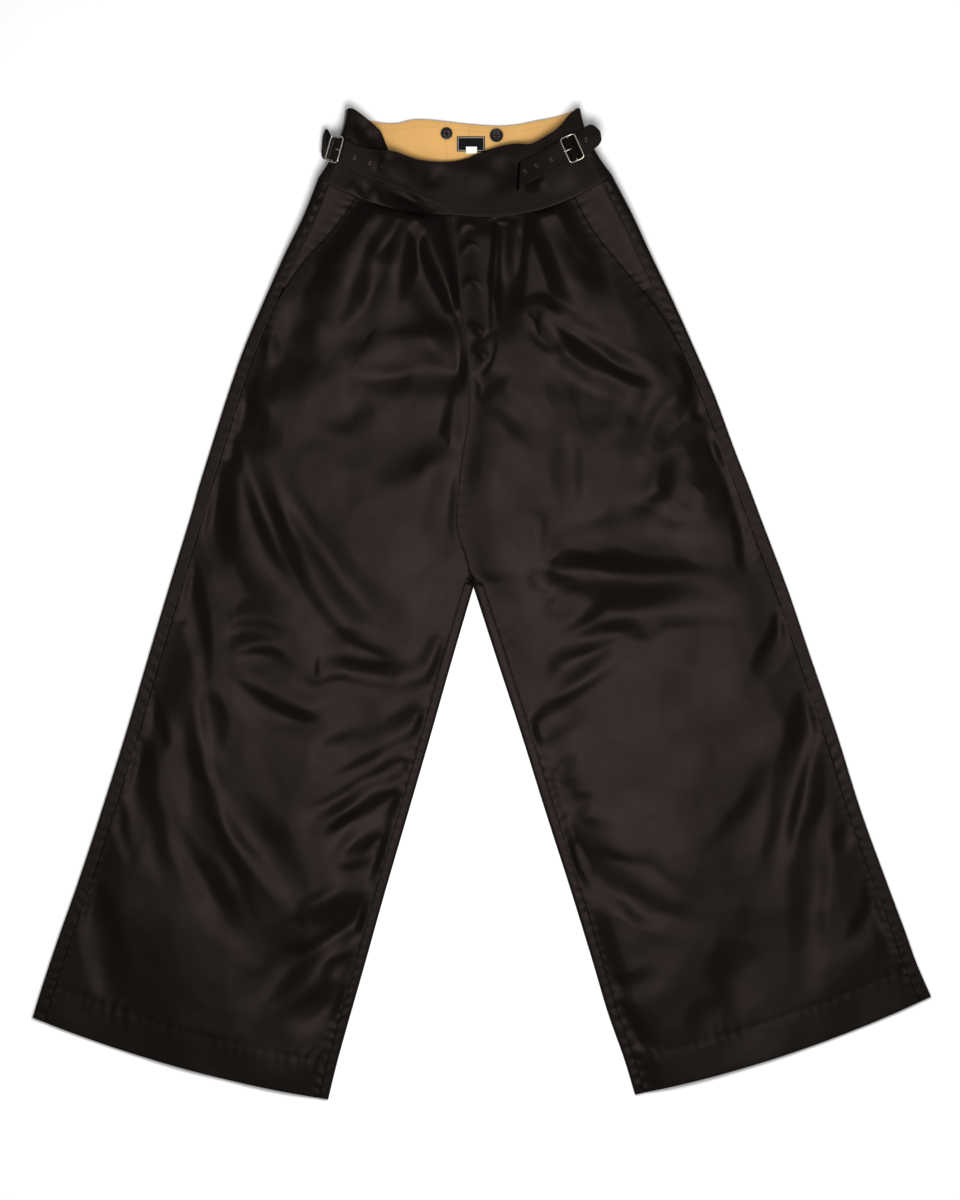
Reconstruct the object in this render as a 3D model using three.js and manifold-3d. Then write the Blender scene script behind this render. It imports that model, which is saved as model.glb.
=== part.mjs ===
import * as THREE from 'three';
import { mergeVertices } from 'three/addons/utils/BufferGeometryUtils.js';
import Module from 'manifold-3d';

// Gurkha trousers lying flat, front up. Millimetres: X runs across, Y up to the waist and
// Z up from the table. Right and left are the wearer's, so the right leg lies towards minus X.

// Driving sizes
const clothWall = 1.2;
const bandWall = 2.2;
const strapWall = 1.6;
const liningWall = 1;
const seamGap = 0.3;
const layerGap = 0.4;
const patchGap = 0.6;
const sideLap = 13;
const inseamLap = 10.5;
const bandDepth = 80;
const liningDepth = 58;
const liningTurn = 1.6;
const sideBow = 6;
const lowestCloth = 3.3;
const pillowReach = 45;
const seamReach = 14;
const waistReach = 12;
const foldedAtLeast = 13;
const stepsPerSection = 3;
const frontColumns = 15;
const facingUnderlap = 9;
const crotchSection = 7.4;
const forkSection = 8;
const buckle = { long: 31, wide: 18.8, wire: 0.85, corner: 3.5 };
const slot = { x: 40.6, y: 480.8, wide: 5.4, long: 34, turn: -4 };
const welt = { wall: 0.9, edges: [[30.4, 494.6, 35.2, 466.2], [36.6, 494.8, 35.9, 466.2]] };
const button = { across: 15, thick: 2.6, hole: 1.1, holeRing: 2.2 };

const buttonPlaces = [
  { name: 'suspender_button_right', x: -39.2, y: 528.1 },
  { name: 'suspender_button_left', x: 16.8, y: 525.8 },
];
const label = { x: -11.8, y: 516.3, wide: 31.4, high: 16.8, thick: 0.7 };
const sizeTag = { x: -11.2, y: 509.4, wide: 12.3, high: 7.8, thick: 0.5 };

const cloth = new THREE.MeshStandardMaterial({ color: 0x1d1a1a, roughness: 0.62, metalness: 0 });
const tan = new THREE.MeshStandardMaterial({ color: 0xb38a58, roughness: 0.8, metalness: 0 });
const nickel = new THREE.MeshStandardMaterial({ color: 0xc9c7c2, roughness: 0.25, metalness: 1 });
const horn = new THREE.MeshStandardMaterial({ color: 0x121212, roughness: 0.35, metalness: 0 });
const labelCloth = new THREE.MeshStandardMaterial({ color: 0x141414, roughness: 0.7, metalness: 0 });
const tagCloth = new THREE.MeshStandardMaterial({ color: 0xe8e6e0, roughness: 0.75, metalness: 0 });

// Each row is a line across one leg from the outseam edge to the inner edge, from the waist
// seam down to the hem. sag is how far its middle hangs, slash how far in the front begins,
// outerHigh and innerHigh the height of its two edges, lift the swell between them.
const sectionColumns = ['outerX', 'outerY', 'innerX', 'innerY', 'sag', 'slash', 'outerHigh',
  'innerHigh', 'lift'];
const rightSections = named(sectionColumns, [
  [-183.1, 477.7, -34.7, 437.4, 11, 48, 24, 7.2, 0],
  [-199.9, 435.1, -27.8, 389.2, 11, 36, 20, 7.6, 1],
  [-221.2, 391.4, -23, 337.7, 11, 22, 15, 7.8, 2],
  [-243.6, 341, -14.8, 280.6, 11, 13, 11, 8, 3],
  [-266.6, 286.2, -12.9, 217.8, 11, 13, 8.5, 8, 3.5],
  [-285, 233.5, -20.7, 163, 11, 13, 7, 7.5, 4],
  [-304.1, 173, -27.4, 94.6, 11, 13, 6.4, 7, 4],
  [-317, 131.6, -17.4, 53.2, 11, 13, 6, 6.5, 4],
  [-325.4, 101.4, -9, 19.6, 11, 13, 6, 6, 4],
  [-350.6, 18.5, -34.2, -66.6, 11, 13, 6, 6, 4],
  [-374.6, -62.2, -57.1, -147.3, 11, 13, 6, 6, 4],
  [-399.3, -146.2, -81.8, -232.4, 10, 13, 6, 6, 4],
  [-427.8, -236.9, -108.6, -324.2, 10, 13, 6, 6, 4],
  [-452.5, -311.9, -129.9, -400.4, 10, 13, 6, 6, 4],
  [-474.3, -373.5, -147.8, -463.1, 10, 13, 6, 6, 3.5],
  [-490.8, -422.5, -161.8, -513.5, 10, 13, 5.6, 5.6, 2.5],
  [-503.4, -463.1, -171.9, -555, 10, 13, 5.4, 5.4, 1.5],
]);
const leftSections = named(sectionColumns, [
  [146.2, 481, -34.7, 437.4, 19, 47, 24, 10, 0],
  [169, 437.4, -27.8, 389.2, 16, 46, 20, 10, 1],
  [189.8, 392.6, -23, 337.7, 13, 34, 15, 10, 2],
  [214.5, 341, -14.8, 280.6, 12, 20, 11, 9.8, 3],
  [239.1, 286.2, -12.9, 217.8, 11, 13, 8.5, 9.4, 3.5],
  [261.7, 233.5, -20.7, 163, 11, 13, 7, 9, 4],
  [283.9, 173, -27.4, 94.6, 11, 13, 6.4, 9, 4],
  [300.3, 131.6, -17.4, 53.2, 11, 13, 6, 8.6, 4],
  [311.4, 101.4, -9, 19.6, 11, 13, 6, 7.4, 4],
  [342.4, 19.6, 18.5, -65.5, 11, 13, 6, 6, 4],
  [369, -58.8, 44.5, -145, 11, 13, 6, 6, 4],
  [397.7, -142.8, 71.1, -230.2, 10, 13, 6, 6, 4],
  [425, -230.2, 99.1, -317.5, 10, 13, 6, 6, 4],
  [451.7, -304.1, 122.6, -393.7, 10, 13, 6, 6, 4],
  [474.3, -364.6, 141.2, -456.4, 10, 13, 6, 6, 3.5],
  [487.1, -400.4, 159.6, -508.6, 10, 13, 5.6, 5.6, 2.5],
  [504, -439.6, 171.9, -549.4, 11, 13, 5.4, 5.4, 1.5],
]);

// The largest folds: the line that each follows, its half width, its rise (a valley falls) and
// which side is the steep one, plus for the left of the line's way and minus for the right.
const foldColumns = ['name', 'line', 'halfWidth', 'rise', 'lean'];
const rightFolds = named(foldColumns, [
  ['pleat beside the pocket', [[-115, 442], [-138, 390], [-157, 343], [-175, 292]], 22, 5, 1],
  ['pleat nearer the fly', [[-77, 440], [-87, 405], [-92, 363], [-96, 335]], 14, 4, 1],
  ['roll inside the pleats', [[-72, 449], [-60, 415], [-50, 386], [-29, 341]], 9, 5, 0],
  ['hollow under the roll', [[-79, 408], [-68, 372], [-48, 328], [-29, 303]], 10, -4, 0],
  ['hollow below the pocket', [[-214, 346], [-212, 307], [-220, 274], [-237, 234]], 13, -4, 0],
  ['swell between pocket and pleat', [[-188, 321], [-190, 296], [-185, 269]], 14, 2.5, 0],
  ['curled end of the pleats', [[-151, 296], [-136, 278], [-102, 277], [-63, 291], [-33, 285]], 11, 4, 0],
  ['cross hollow below the pleats', [[-29, 266], [-86, 264], [-161, 257]], 15, -5, 0],
  ['hip hollow', [[-197, 227], [-153, 216], [-120, 223]], 14, -3, 0],
  ['crotch hollow', [[-26, 240], [-55, 193], [-94, 166], [-134, 142]], 16, -4, 0],
  ['inner thigh hollow', [[-36, 119], [-54, 72], [-94, 18]], 14, -2.5, 0],
  ['hip hollow at the side seam', [[-273, 212], [-253, 191], [-221, 189]], 12, -4, 0],
  ['thigh ridge', [[-248, 160], [-214, 80], [-170, 3], [-123, -41], [-58, -58]], 9, 6, 0],
  ['thigh valley inside the ridge',
    [[-235, 153], [-203, 92], [-153, 14], [-108, -15], [-69, -30]], 15, -5, 0],
  ['outer thigh ridge', [[-290, 171], [-270, 100], [-246, 36], [-208, -11]], 11, 4, 0],
  ['outer thigh valley', [[-296, 162], [-301, 117], [-296, 72], [-283, 45]], 9, -4.5, 0],
  ['outer knee hollow', [[-309, 27], [-259, 6], [-210, -4]], 16, -3.5, 0],
  ['knee cross ridge', [[-286, -20], [-246, -16], [-201, -22]], 9, 3, 0],
  ['knee pocket', [[-185, -78], [-158, -51], [-132, -53], [-102, -67], [-62, -71]], 12, -6, 0],
  ['valley below the hanging ridge', [[-279, -85], [-246, -111], [-203, -132], [-170, -144]], 9, -5, 0],
  ['short deep calf crease', [[-111, -278], [-135, -298], [-170, -304]], 9, -6, 0],
  ['big shin valley', [[-344, -228], [-320, -273], [-302, -313], [-286, -351], [-269, -385]], 13, -6.5, 0],
  ['inner shin valley', [[-300, -214], [-264, -244], [-239, -277], [-217, -313], [-202, -347]], 12, -6.5, 0],
  ['deep hem valley', [[-138, -353], [-174, -377], [-208, -405], [-246, -438], [-284, -477]], 14, -7, 0],
  ['ridge below the hem valley', [[-143, -375], [-181, -400], [-214, -432], [-257, -474]], 9, 4, 0],
  ['outer shin valley', [[-390, -165], [-380, -219], [-369, -268], [-349, -315]], 9, -5, 0],
  ['outer hem valley', [[-445, -323], [-428, -365], [-424, -415], [-406, -452]], 10, -5, 0],
  ['hem crease at the inseam', [[-143, -442], [-181, -456], [-217, -478]], 9, -4.5, 0],
]);
const leftFolds = named(foldColumns, [
  ['deep pleat beside the fly', [[33, 440], [29, 384], [26, 341], [26, 290]], 9, -5, 0],
  ['pleat towards the pocket', [[66, 440], [88, 386], [104, 346], [113, 314]], 22, 5, -1],
  ['upper roll across the hip',
    [[44, 322], [51, 331], [67, 334], [83, 323], [109, 306], [161, 278], [220, 249]], 9, 6, 0],
  ['valley between the hip rolls', [[54, 326], [83, 312], [115, 292], [171, 260], [202, 246]], 9, -6, 0],
  ['broad hollow below the rolls', [[72, 230], [122, 247], [180, 238]], 22, -4.5, 0],
  ['hip hollow', [[218, 240], [194, 227], [178, 195], [148, 171]], 13, -4, 0],
  ['hooked hollow', [[266, 176], [241, 155], [222, 148], [213, 117], [175, 111]], 12, -4.5, 0],
  ['crease from the fly', [[5, 238], [27, 219], [50, 197], [68, 172]], 9, -3, 0],
  ['broad thigh valley', [[294, 63], [200, 59], [133, 60], [72, 51]], 19, -5, 0],
  ['thigh ridge', [[62, 51], [76, 35], [113, 38], [178, 25], [229, 29], [298, 20]], 9, 5, 0],
  ['knee valley', [[321, -16], [234, 1], [153, -3], [124, -23], [86, -41]], 17, -5.5, 0],
  ['slanted knee valley', [[70, -102], [95, -71], [130, -49], [157, -32]], 10, -5.5, 0],
  ['lower slanted valley', [[64, -143], [77, -129], [95, -117], [126, -91]], 9, -6, 0],
  ['deep calf valley', [[108, -287], [139, -305], [178, -328], [216, -347], [263, -374]], 15, -7.5, 0],
  ['ridge above the calf valley', [[117, -285], [162, -304], [209, -329], [251, -352]], 9, 4.5, 0],
  ['curved shin hollow', [[329, -170], [310, -219], [287, -255], [242, -283]], 11, -3.5, 0],
  ['outer shin hollow', [[385, -203], [374, -264], [371, -331], [368, -398], [362, -447]], 10, -4.5, 0],
  ['soft hem hollow', [[291, -374], [281, -412], [269, -474]], 13, -3, 0],
  ['hem dimple', [[231, -453], [251, -461], [272, -466]], 12, -3, 0],
  ['outer hem dimple', [[452, -356], [458, -380], [462, -403]], 9, -2.5, 0],
]);

// Upper edges of the bands, from the side seam inwards.
const edgeColumns = ['along', 'x', 'y', 'rise'];
const underBandTop = named(edgeColumns, [
  [0, -152.6, 553.6, 0],
  [0.1, -148, 555.3, 0],
  [0.2, -141.5, 553.7, -0.6],
  [0.34, -126, 542, -1],
  [0.48, -113, 529.5, -1],
  [0.58, -107, 516, -1],
  [0.68, -100, 504, -1],
  [0.8, -80, 495, -1],
  [0.9, -58, 488.5, -0.5],
  [1, -36, 485, 0],
]);
const overBandTop = named(edgeColumns, [
  [0, 111.5, 551.8, 0],
  [0.1, 108, 555.6, 0],
  [0.2, 98, 548, 0],
  [0.32, 86, 534, 0],
  [0.42, 71.5, 524.2, 0],
  [0.52, 55, 516, 0],
  [0.64, 37.5, 516.3, 0],
  [0.76, 20.7, 513.5, 0],
  [0.88, 2, 507.5, 0],
  [1, -15, 500.5, 0],
]);
const backBandTop = named(edgeColumns, [
  [0, -151.8, 555, 0],
  [0.07, -136, 545, 0],
  [0.16, -118, 539, 0],
  [0.26, -95, 537.6, 0],
  [0.38, -69, 542, 0],
  [0.5, -22, 537.5, 0],
  [0.62, 14, 534.6, 0],
  [0.72, 40, 536, 0],
  [0.8, 61, 540.2, 0],
  [0.88, 85, 545, 0],
  [0.95, 102, 551.5, 0],
  [1, 110.5, 555.4, 0],
]);

// The bands' free ends: both edges of each strap, with the height of its upper face.
const strapColumns = ['topX', 'topY', 'topHigh', 'lowX', 'lowY', 'lowHigh', 'wall'];
const underStrap = named(strapColumns, [
  [-7, 482, 7.4, -8, 441, 7.4, 2.2],
  [10, 487, 7.8, 12, 452, 7.8, 2],
  [25, 490, 8.8, 24, 460.5, 8.8, 1.6],
  [38.8, 494.6, 11, 36.9, 465, 10.9, 1.6],
  [43.3, 496.5, 19.4, 41.2, 467, 19.2, 1.6],
  [46, 497.6, 20.4, 44.6, 468.4, 20.2, 1.6],
  [56, 501.8, 21, 55, 472.8, 20.8, 1.6],
  [68, 507.6, 22.8, 70, 480.5, 22.6, 1.6],
  [79, 513.4, 25.4, 88.5, 490, 25.2, 1.6],
  [86.8, 517.4, 27, 97, 494.4, 27, 1.6],
  [89.8, 518.8, 27.1, 100, 495.8, 27.1, 1.6],
  [95.3, 521.2, 31.5, 105.5, 498.2, 31.5, 1.6],
  [97.5, 522.2, 31.5, 107.7, 499.2, 31.5, 1.6],
  [103, 524.6, 27.2, 113.2, 501.6, 27.2, 1.6],
  [106, 526, 27.2, 116.2, 503, 27.2, 1.6],
  [121, 537, 27.2, 129.8, 512.6, 27.2, 1.6],
  [131, 531.5, 27.2, 134, 519, 27.2, 1.6],
  [133.4, 527, 27, 134.2, 522, 27, 1.6],
]);
const overStrap = named(strapColumns, [
  [-32, 496.7, 10.4, -48, 447.5, 10.8, 2.2],
  [-55, 496.4, 12.4, -68, 456, 13.6, 2.2],
  [-76, 499.8, 16.6, -88, 465.5, 18, 2.2],
  [-98, 507.3, 21.6, -108, 472.5, 22.6, 2],
  [-119, 509.3, 25.8, -127, 478.4, 26.4, 1.6],
  [-136, 512.6, 28.8, -144, 486.8, 29, 1.6],
  [-151.9, 519.4, 31, -158.5, 495, 31, 1.6],
  [-154.6, 520.1, 29.1, -161.2, 495.7, 29.1, 1.6],
  [-161.7, 522, 29.2, -168.3, 497.6, 29.2, 1.6],
  [-163.6, 522.5, 27.8, -170.2, 498.1, 27.8, 1.6],
  [-165.8, 523.1, 20.6, -172.4, 498.7, 20.6, 1.6],
  [-168.3, 523.8, 18.6, -174.9, 499.4, 18.6, 1.6],
  [-173.5, 532.5, 15.4, -176.6, 498.6, 15.4, 1.6],
  [-177, 528, 12.6, -179, 502, 12.6, 1.6],
  [-178.6, 521.5, 10.8, -179.6, 507.5, 10.8, 1.6],
]);

// Where each buckle lies: its middle, how its short way points and how far that way is tipped.
const buckleColumns = ['side', 'x', 'y', 'high', 'turn', 'tip'];
const buckles = named(buckleColumns, [
  ['left', 101.5, 510.2, 28.5, 24, 0],
  ['right', -164.3, 509.6, 26, -15, -36],
]);

// Each buckle's tab lies on the band under it.
const tabWall = 1;
const tabs = [
  { name: 'buckle_tab_left', leg: () => leftLeg, edge: overBandTop,
    edges: [[100, 520, 100.5, 499], [110, 520, 112, 500.5], [117, 519.5, 126, 501.5]] },
  { name: 'buckle_tab_right', leg: () => rightLeg, edge: underBandTop,
    edges: [[-157, 519, -162.5, 502], [-152, 520, -157, 500.5], [-146, 521, -151, 499]] },
];

const wasm = await Module();
wasm.setup();

function named(columns, rows) {
  return rows.map(row => Object.fromEntries(columns.map((column, i) => [column, row[i]])));
}

function smooth(from, to, value) {
  const t = Math.min(1, Math.max(0, (value - from) / (to - from)));
  return t * t * (3 - 2 * t);
}

// A value between rows of a table, on a curve that passes through each row and may have a
// corner at one of them.
function between(rows, column, t, corner = 0) {
  const last = rows.length - 1;
  const i = Math.max(0, Math.min(Math.floor(t), last - 1));
  const f = t - i;
  const from = i < corner ? 0 : corner;
  const to = i < corner ? corner : last;
  const at = k => rows[Math.max(from, Math.min(to, k))][column];
  const [a, b, c, d] = [at(i - 1), at(i), at(i + 1), at(i + 2)];
  return b + 0.5 * f * (c - a + f * (2 * a - 5 * b + 4 * c - d + f * (3 * (b - c) + d - a)));
}

// The same for a table whose rows have an along value from 0 to 1.
function alongEdge(rows, along) {
  let i = 0;
  while (i < rows.length - 2 && rows[i + 1].along < along) i += 1;
  const t = i + (along - rows[i].along) / (rows[i + 1].along - rows[i].along);
  return ['x', 'y', 'rise'].map(column => between(rows, column, t));
}

// Sections and folds of each leg
function makeLeg(sections, folds, side) {
  const section = t => Object.fromEntries(sectionColumns.map(column => [column,
    between(sections, column, t, column.startsWith('inner') ? forkSection : 0)]));
  return { sections, folds: folds.map(traced), side, section };
}

function traced(fold) {
  const curve = new THREE.CatmullRomCurve3(fold.line.map(([x, y]) => new THREE.Vector3(x, y, 0)));
  const points = curve.getPoints(4 * (fold.line.length - 1)).map(p => [p.x, p.y]);
  return { ...fold, points, halfWidth: Math.max(fold.halfWidth, foldedAtLeast) };
}

function placeAcross(row, inset) {
  const dx = row.innerX - row.outerX;
  const dy = row.innerY - row.outerY;
  const width = Math.hypot(dx, dy);
  const f = inset / width;
  const drop = row.sag * 4 * f * (1 - f);
  const turn = Math.sign(dx);
  return { x: row.outerX + dx * f + drop * turn * dy / width,
    y: row.outerY + dy * f - drop * Math.abs(dx) / width };
}

function widthOf(row) {
  return Math.hypot(row.innerX - row.outerX, row.innerY - row.outerY);
}

// How much of the inner edge is wrapped round: none above the crotch, all below the fork.
function wrapShare(t) {
  return smooth(crotchSection, forkSection, t);
}

// A fold's height at one point: a crest or a valley line with soft shoulders, fading at its ends.
function foldHeight(fold, x, y) {
  let best = { distance: Infinity, along: 0, cross: 0 };
  const count = fold.points.length - 1;
  for (let i = 0; i < count; i += 1) {
    const [ax, ay] = fold.points[i];
    const [bx, by] = fold.points[i + 1];
    const length2 = (bx - ax) ** 2 + (by - ay) ** 2;
    const f = Math.max(0, Math.min(1, ((x - ax) * (bx - ax) + (y - ay) * (by - ay)) / length2));
    const distance = Math.hypot(x - ax - f * (bx - ax), y - ay - f * (by - ay));
    if (distance < best.distance) {
      const cross = (bx - ax) * (y - ay) - (by - ay) * (x - ax);
      best = { distance, along: (i + f) / count, cross };
    }
  }
  const reach = fold.halfWidth * (1 - 0.6 * Math.max(0, Math.sign(best.cross) * fold.lean));
  if (best.distance >= reach) return 0;
  const profile = (1 - (best.distance / reach) ** 2) ** 2;
  return fold.rise * profile * smooth(0, 0.15, best.along) * (1 - smooth(0.7, 1, best.along));
}

// Height of the front's upper face at one place of a leg.
function frontLevel(leg, t, inset) {
  const row = leg.section(t);
  const { x, y } = placeAcross(row, inset);
  const width = widthOf(row);
  const fromOuter = inset - sideLap;
  const fromInner = width - inset - inseamLap * wrapShare(t);
  const fromWaist = Math.hypot(x - placeAcross(leg.section(0), inset).x,
    y - placeAcross(leg.section(0), inset).y);
  const inside = smooth(0, pillowReach, fromOuter) * smooth(0, pillowReach, fromInner);
  const masked = smooth(0, seamReach, fromOuter) * smooth(0, seamReach, fromInner)
    * smooth(0, waistReach, fromWaist);
  let level = row.outerHigh + (row.innerHigh - row.outerHigh) * smooth(0, 1, inset / width);
  level += row.lift * inside;
  let folded = 0;
  for (const fold of leg.folds) folded += foldHeight(fold, x, y);
  return Math.max(lowestCloth, level + folded * masked);
}

function frontPoint(leg, t, inset) {
  const { x, y } = placeAcross(leg.section(t), inset);
  return new THREE.Vector3(x, y, frontLevel(leg, t, inset));
}

// Where the front piece begins and ends on a row, and its columns between.
function frontInsets(leg, t, columns) {
  const row = leg.section(t);
  const from = Math.max(sideLap, row.slash) + seamGap / 2;
  const to = widthOf(row) - inseamLap * wrapShare(t) - seamGap / 2;
  return Array.from({ length: columns + 1 }, (_, i) => from + (to - from) * i / columns);
}

// The back's way round a row, from its lap on the front, round the outseam edge, under the
// leg, and round the inner edge to its lap there. Above the crotch the inner end lies flat.
function backWay(leg, t) {
  const row = leg.section(t);
  const width = widthOf(row);
  const r = row.outerHigh / 2;
  const diagonal = r * Math.SQRT1_2;
  const outer = [
    [sideLap - seamGap / 2, 2 * r],
    [Math.min(r, sideLap - 1.2), 2 * r],
    [r - diagonal, r + diagonal],
    [seamGap / 2, r],
    [r - diagonal, r - diagonal],
    [r, 0],
  ];
  const share = wrapShare(t);
  const s = row.innerHigh / 2;
  const flat = [[12, 0], [8, 0], [4, 0], [seamGap / 2, 0]];
  const wrapped = [[s, 0], [seamGap / 2, s], [s, 2 * s], [inseamLap - seamGap / 2, 2 * s]];
  const part = flat.map(([inset, z], i) => [
    inset + (wrapped[i][0] - inset) * share,
    z + (wrapped[i][1] - z) * share,
  ]);
  const short = Math.min(...part.map(([inset]) => inset)) - seamGap / 2;
  const inner = part.map(([inset, z]) => [inset - short, z]);
  const middle = [0.25, 0.5, 0.75].map(f => [width * f, 0]);
  return [...outer, ...middle, ...inner.map(([inset, z]) => [width - inset, z])];
}

function backPoints(leg, t) {
  const row = leg.section(t);
  return backWay(leg, t).map(([inset, z]) => {
    const { x, y } = placeAcross(row, inset);
    return new THREE.Vector3(x, y, z);
  });
}

// Closed walls from a grid of points
function normalAt(grid, i, j) {
  const rows = grid.length - 1;
  const columns = grid[0].length - 1;
  const down = new THREE.Vector3().subVectors(grid[Math.min(i + 1, rows)][j],
    grid[Math.max(i - 1, 0)][j]);
  const over = new THREE.Vector3().subVectors(grid[i][Math.min(j + 1, columns)],
    grid[i][Math.max(j - 1, 0)]);
  return over.cross(down).normalize();
}

// Each grid point's way out. facing says which way the face looks at its middle.
function waysOut(grid, facing) {
  const middle = normalAt(grid, Math.round((grid.length - 1) / 2),
    Math.round((grid[0].length - 1) / 2));
  const sign = Math.sign(middle.dot(facing));
  return grid.map((line, i) => line.map((_, j) => normalAt(grid, i, j).multiplyScalar(sign)));
}

function shifted(grid, ways, distance) {
  const far = i => (typeof distance === 'function' ? distance(i) : distance);
  return grid.map((line, i) => line.map((point, j) => point.clone()
    .addScaledVector(ways[i][j], far(i))));
}

// A wall whose outer face is the grid. wall is a number or a function of the grid's row, and
// plumb keeps its rims upright.
function wallFrom(grid, wall, facing, plumb = false) {
  const rows = grid.length - 1;
  const columns = grid[0].length - 1;
  const ways = waysOut(grid, facing).map((line, i) => line.map((way, j) => {
    const rim = i === 0 || j === 0 || i === rows || j === columns;
    return plumb && rim ? facing.clone() : way;
  }));
  const depth = i => (typeof wall === 'function' ? -wall(i) : -wall);
  return closed(grid, shifted(grid, ways, depth));
}

function closed(outer, inner) {
  const rows = outer.length;
  const columns = outer[0].length;
  const positions = [...outer.flat(), ...inner.flat()].flatMap(p => [p.x, p.y, p.z]);
  const index = [];
  const top = (i, j) => i * columns + j;
  const low = (i, j) => rows * columns + top(i, j);
  const quad = (a, b, c, d) => index.push(a, b, c, a, c, d);
  for (let i = 0; i < rows - 1; i += 1) {
    for (let j = 0; j < columns - 1; j += 1) {
      quad(top(i, j), top(i + 1, j), top(i + 1, j + 1), top(i, j + 1));
      quad(low(i, j), low(i, j + 1), low(i + 1, j + 1), low(i + 1, j));
    }
    quad(top(i, 0), low(i, 0), low(i + 1, 0), top(i + 1, 0));
    const e = columns - 1;
    quad(top(i, e), top(i + 1, e), low(i + 1, e), low(i, e));
  }
  for (let j = 0; j < columns - 1; j += 1) {
    quad(top(0, j), top(0, j + 1), low(0, j + 1), low(0, j));
    const e = rows - 1;
    quad(top(e, j), low(e, j), low(e, j + 1), top(e, j + 1));
  }
  return outward(positions, index);
}

function outward(positions, index) {
  const geometry = new THREE.BufferGeometry();
  geometry.setAttribute('position', new THREE.Float32BufferAttribute(positions, 3));
  let volume = 0;
  const corner = k => new THREE.Vector3().fromArray(positions, 3 * k);
  for (let i = 0; i < index.length; i += 3) {
    volume += corner(index[i]).dot(corner(index[i + 1]).cross(corner(index[i + 2])));
  }
  const turned = index.map((_, i) => index[i - (i % 3) + [0, 2, 1][i % 3]]);
  geometry.setIndex(volume < 0 ? turned : index);
  return geometry;
}

// Booleans
function solidOf(geometry) {
  const bare = geometry.clone();
  bare.deleteAttribute('normal');
  bare.deleteAttribute('uv');
  const merged = mergeVertices(bare, 1e-4);
  return new wasm.Manifold(new wasm.Mesh({
    numProp: 3,
    vertProperties: new Float32Array(merged.attributes.position.array),
    triVerts: new Uint32Array(merged.index.array),
  }));
}

function geometryOf(solid) {
  const mesh = solid.getMesh();
  const geometry = new THREE.BufferGeometry();
  geometry.setAttribute('position', new THREE.Float32BufferAttribute(mesh.vertProperties, 3));
  geometry.setIndex(Array.from(mesh.triVerts));
  return geometry;
}

// Pieces of the legs
const up = new THREE.Vector3(0, 0, 1);
const down = new THREE.Vector3(0, 0, -1);

function rowsDown(leg, from = 0, to = leg.sections.length - 1) {
  const steps = Math.round((to - from) * stepsPerSection);
  return Array.from({ length: steps + 1 }, (_, i) => from + (to - from) * i / steps);
}

function frontPanel(leg) {
  const grid = rowsDown(leg).map(t => frontInsets(leg, t, frontColumns)
    .map(inset => frontPoint(leg, t, inset)));
  return wallFrom(grid, clothWall, up, true);
}

function backPanel(leg) {
  return wallFrom(rowsDown(leg).map(t => backPoints(leg, t)), clothWall, down);
}

// The pocket facing shows between the side seam and the slanted pocket mouth, just under the
// front's level, and runs on under the front's edge.
function pocketFacing(leg) {
  const lowest = leg.side === 'right' ? 2.6 : 3.6;
  const grid = rowsDown(leg, 0, 2.6).map(t => {
    const row = leg.section(t);
    const from = sideLap + seamGap / 2;
    const share = t / lowest;
    const to = Math.max(row.slash, sideLap) + facingUnderlap * (1 - 0.4 * share);
    return Array.from({ length: 5 }, (_, j) => {
      const inset = from + (to - from) * j / 4;
      const { x, y } = placeAcross(row, inset);
      const level = frontLevel({ ...leg, folds: [] }, t, inset);
      return new THREE.Vector3(x, y - seamGap * (t === 0 ? 1 : 0), level - clothWall - layerGap);
    });
  });
  return wallFrom(grid, clothWall, up, true);
}

// The waist seam's points, shared by a band and the panels below it
function roundTheSide(leg) {
  return backPoints(leg, 0).slice(1, 4).reverse();
}

function waistSeam(leg) {
  const side = sideLap + seamGap / 2;
  const mouth = frontInsets(leg, 0, frontColumns);
  const beside = [0, 0.34, 0.67].map(f => side + (mouth[0] - side) * f);
  return [...roundTheSide(leg), ...[...beside, ...mouth].map(inset => frontPoint(leg, 0, inset))];
}

// A band from the side seam to the centre front. Its side edge bows inwards, and its first row
// stands just above the back band's end.
function bandRows(leg, topEdge) {
  const low = waistSeam(leg);
  let run = 0;
  const lengths = low.map((point, i) => {
    run += i === 0 ? 0 : point.distanceTo(low[i - 1]);
    return run;
  });
  return low.map((point, i) => {
    const [x, y, rise] = alongEdge(topEdge, lengths[i] / run);
    const lifted = i === 0 ? seamGap / 2 : 0;
    return {
      top: new THREE.Vector3(x, y, point.z + rise + lifted),
      low: point.clone().add(new THREE.Vector3(0, seamGap, lifted)),
      wall: bandWall,
      bow: sideBow * outwardOf(leg) * (1 - smooth(0, 0.45, lengths[i] / run)),
    };
  });
}

function outwardOf(leg) {
  return leg.side === 'right' ? -1 : 1;
}

function strapRows(table, steps) {
  const rows = [];
  for (let i = 0; i <= (table.length - 1) * steps; i += 1) {
    const t = i / steps;
    const at = column => between(table, column, t);
    rows.push({
      top: new THREE.Vector3(at('topX'), at('topY'), at('topHigh')),
      low: new THREE.Vector3(at('lowX'), at('lowY'), at('lowHigh')),
      wall: at('wall'),
    });
  }
  return rows;
}

function ribbonGrid(rows, columns, from = 0, to = 1) {
  return rows.map(({ top, low, bow = 0 }) => Array.from({ length: columns + 1 }, (_, j) => {
    const f = from + (to - from) * j / columns;
    const point = new THREE.Vector3().lerpVectors(top, low, f);
    point.x -= bow * 4 * f * (1 - f);
    return point;
  }));
}

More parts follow.
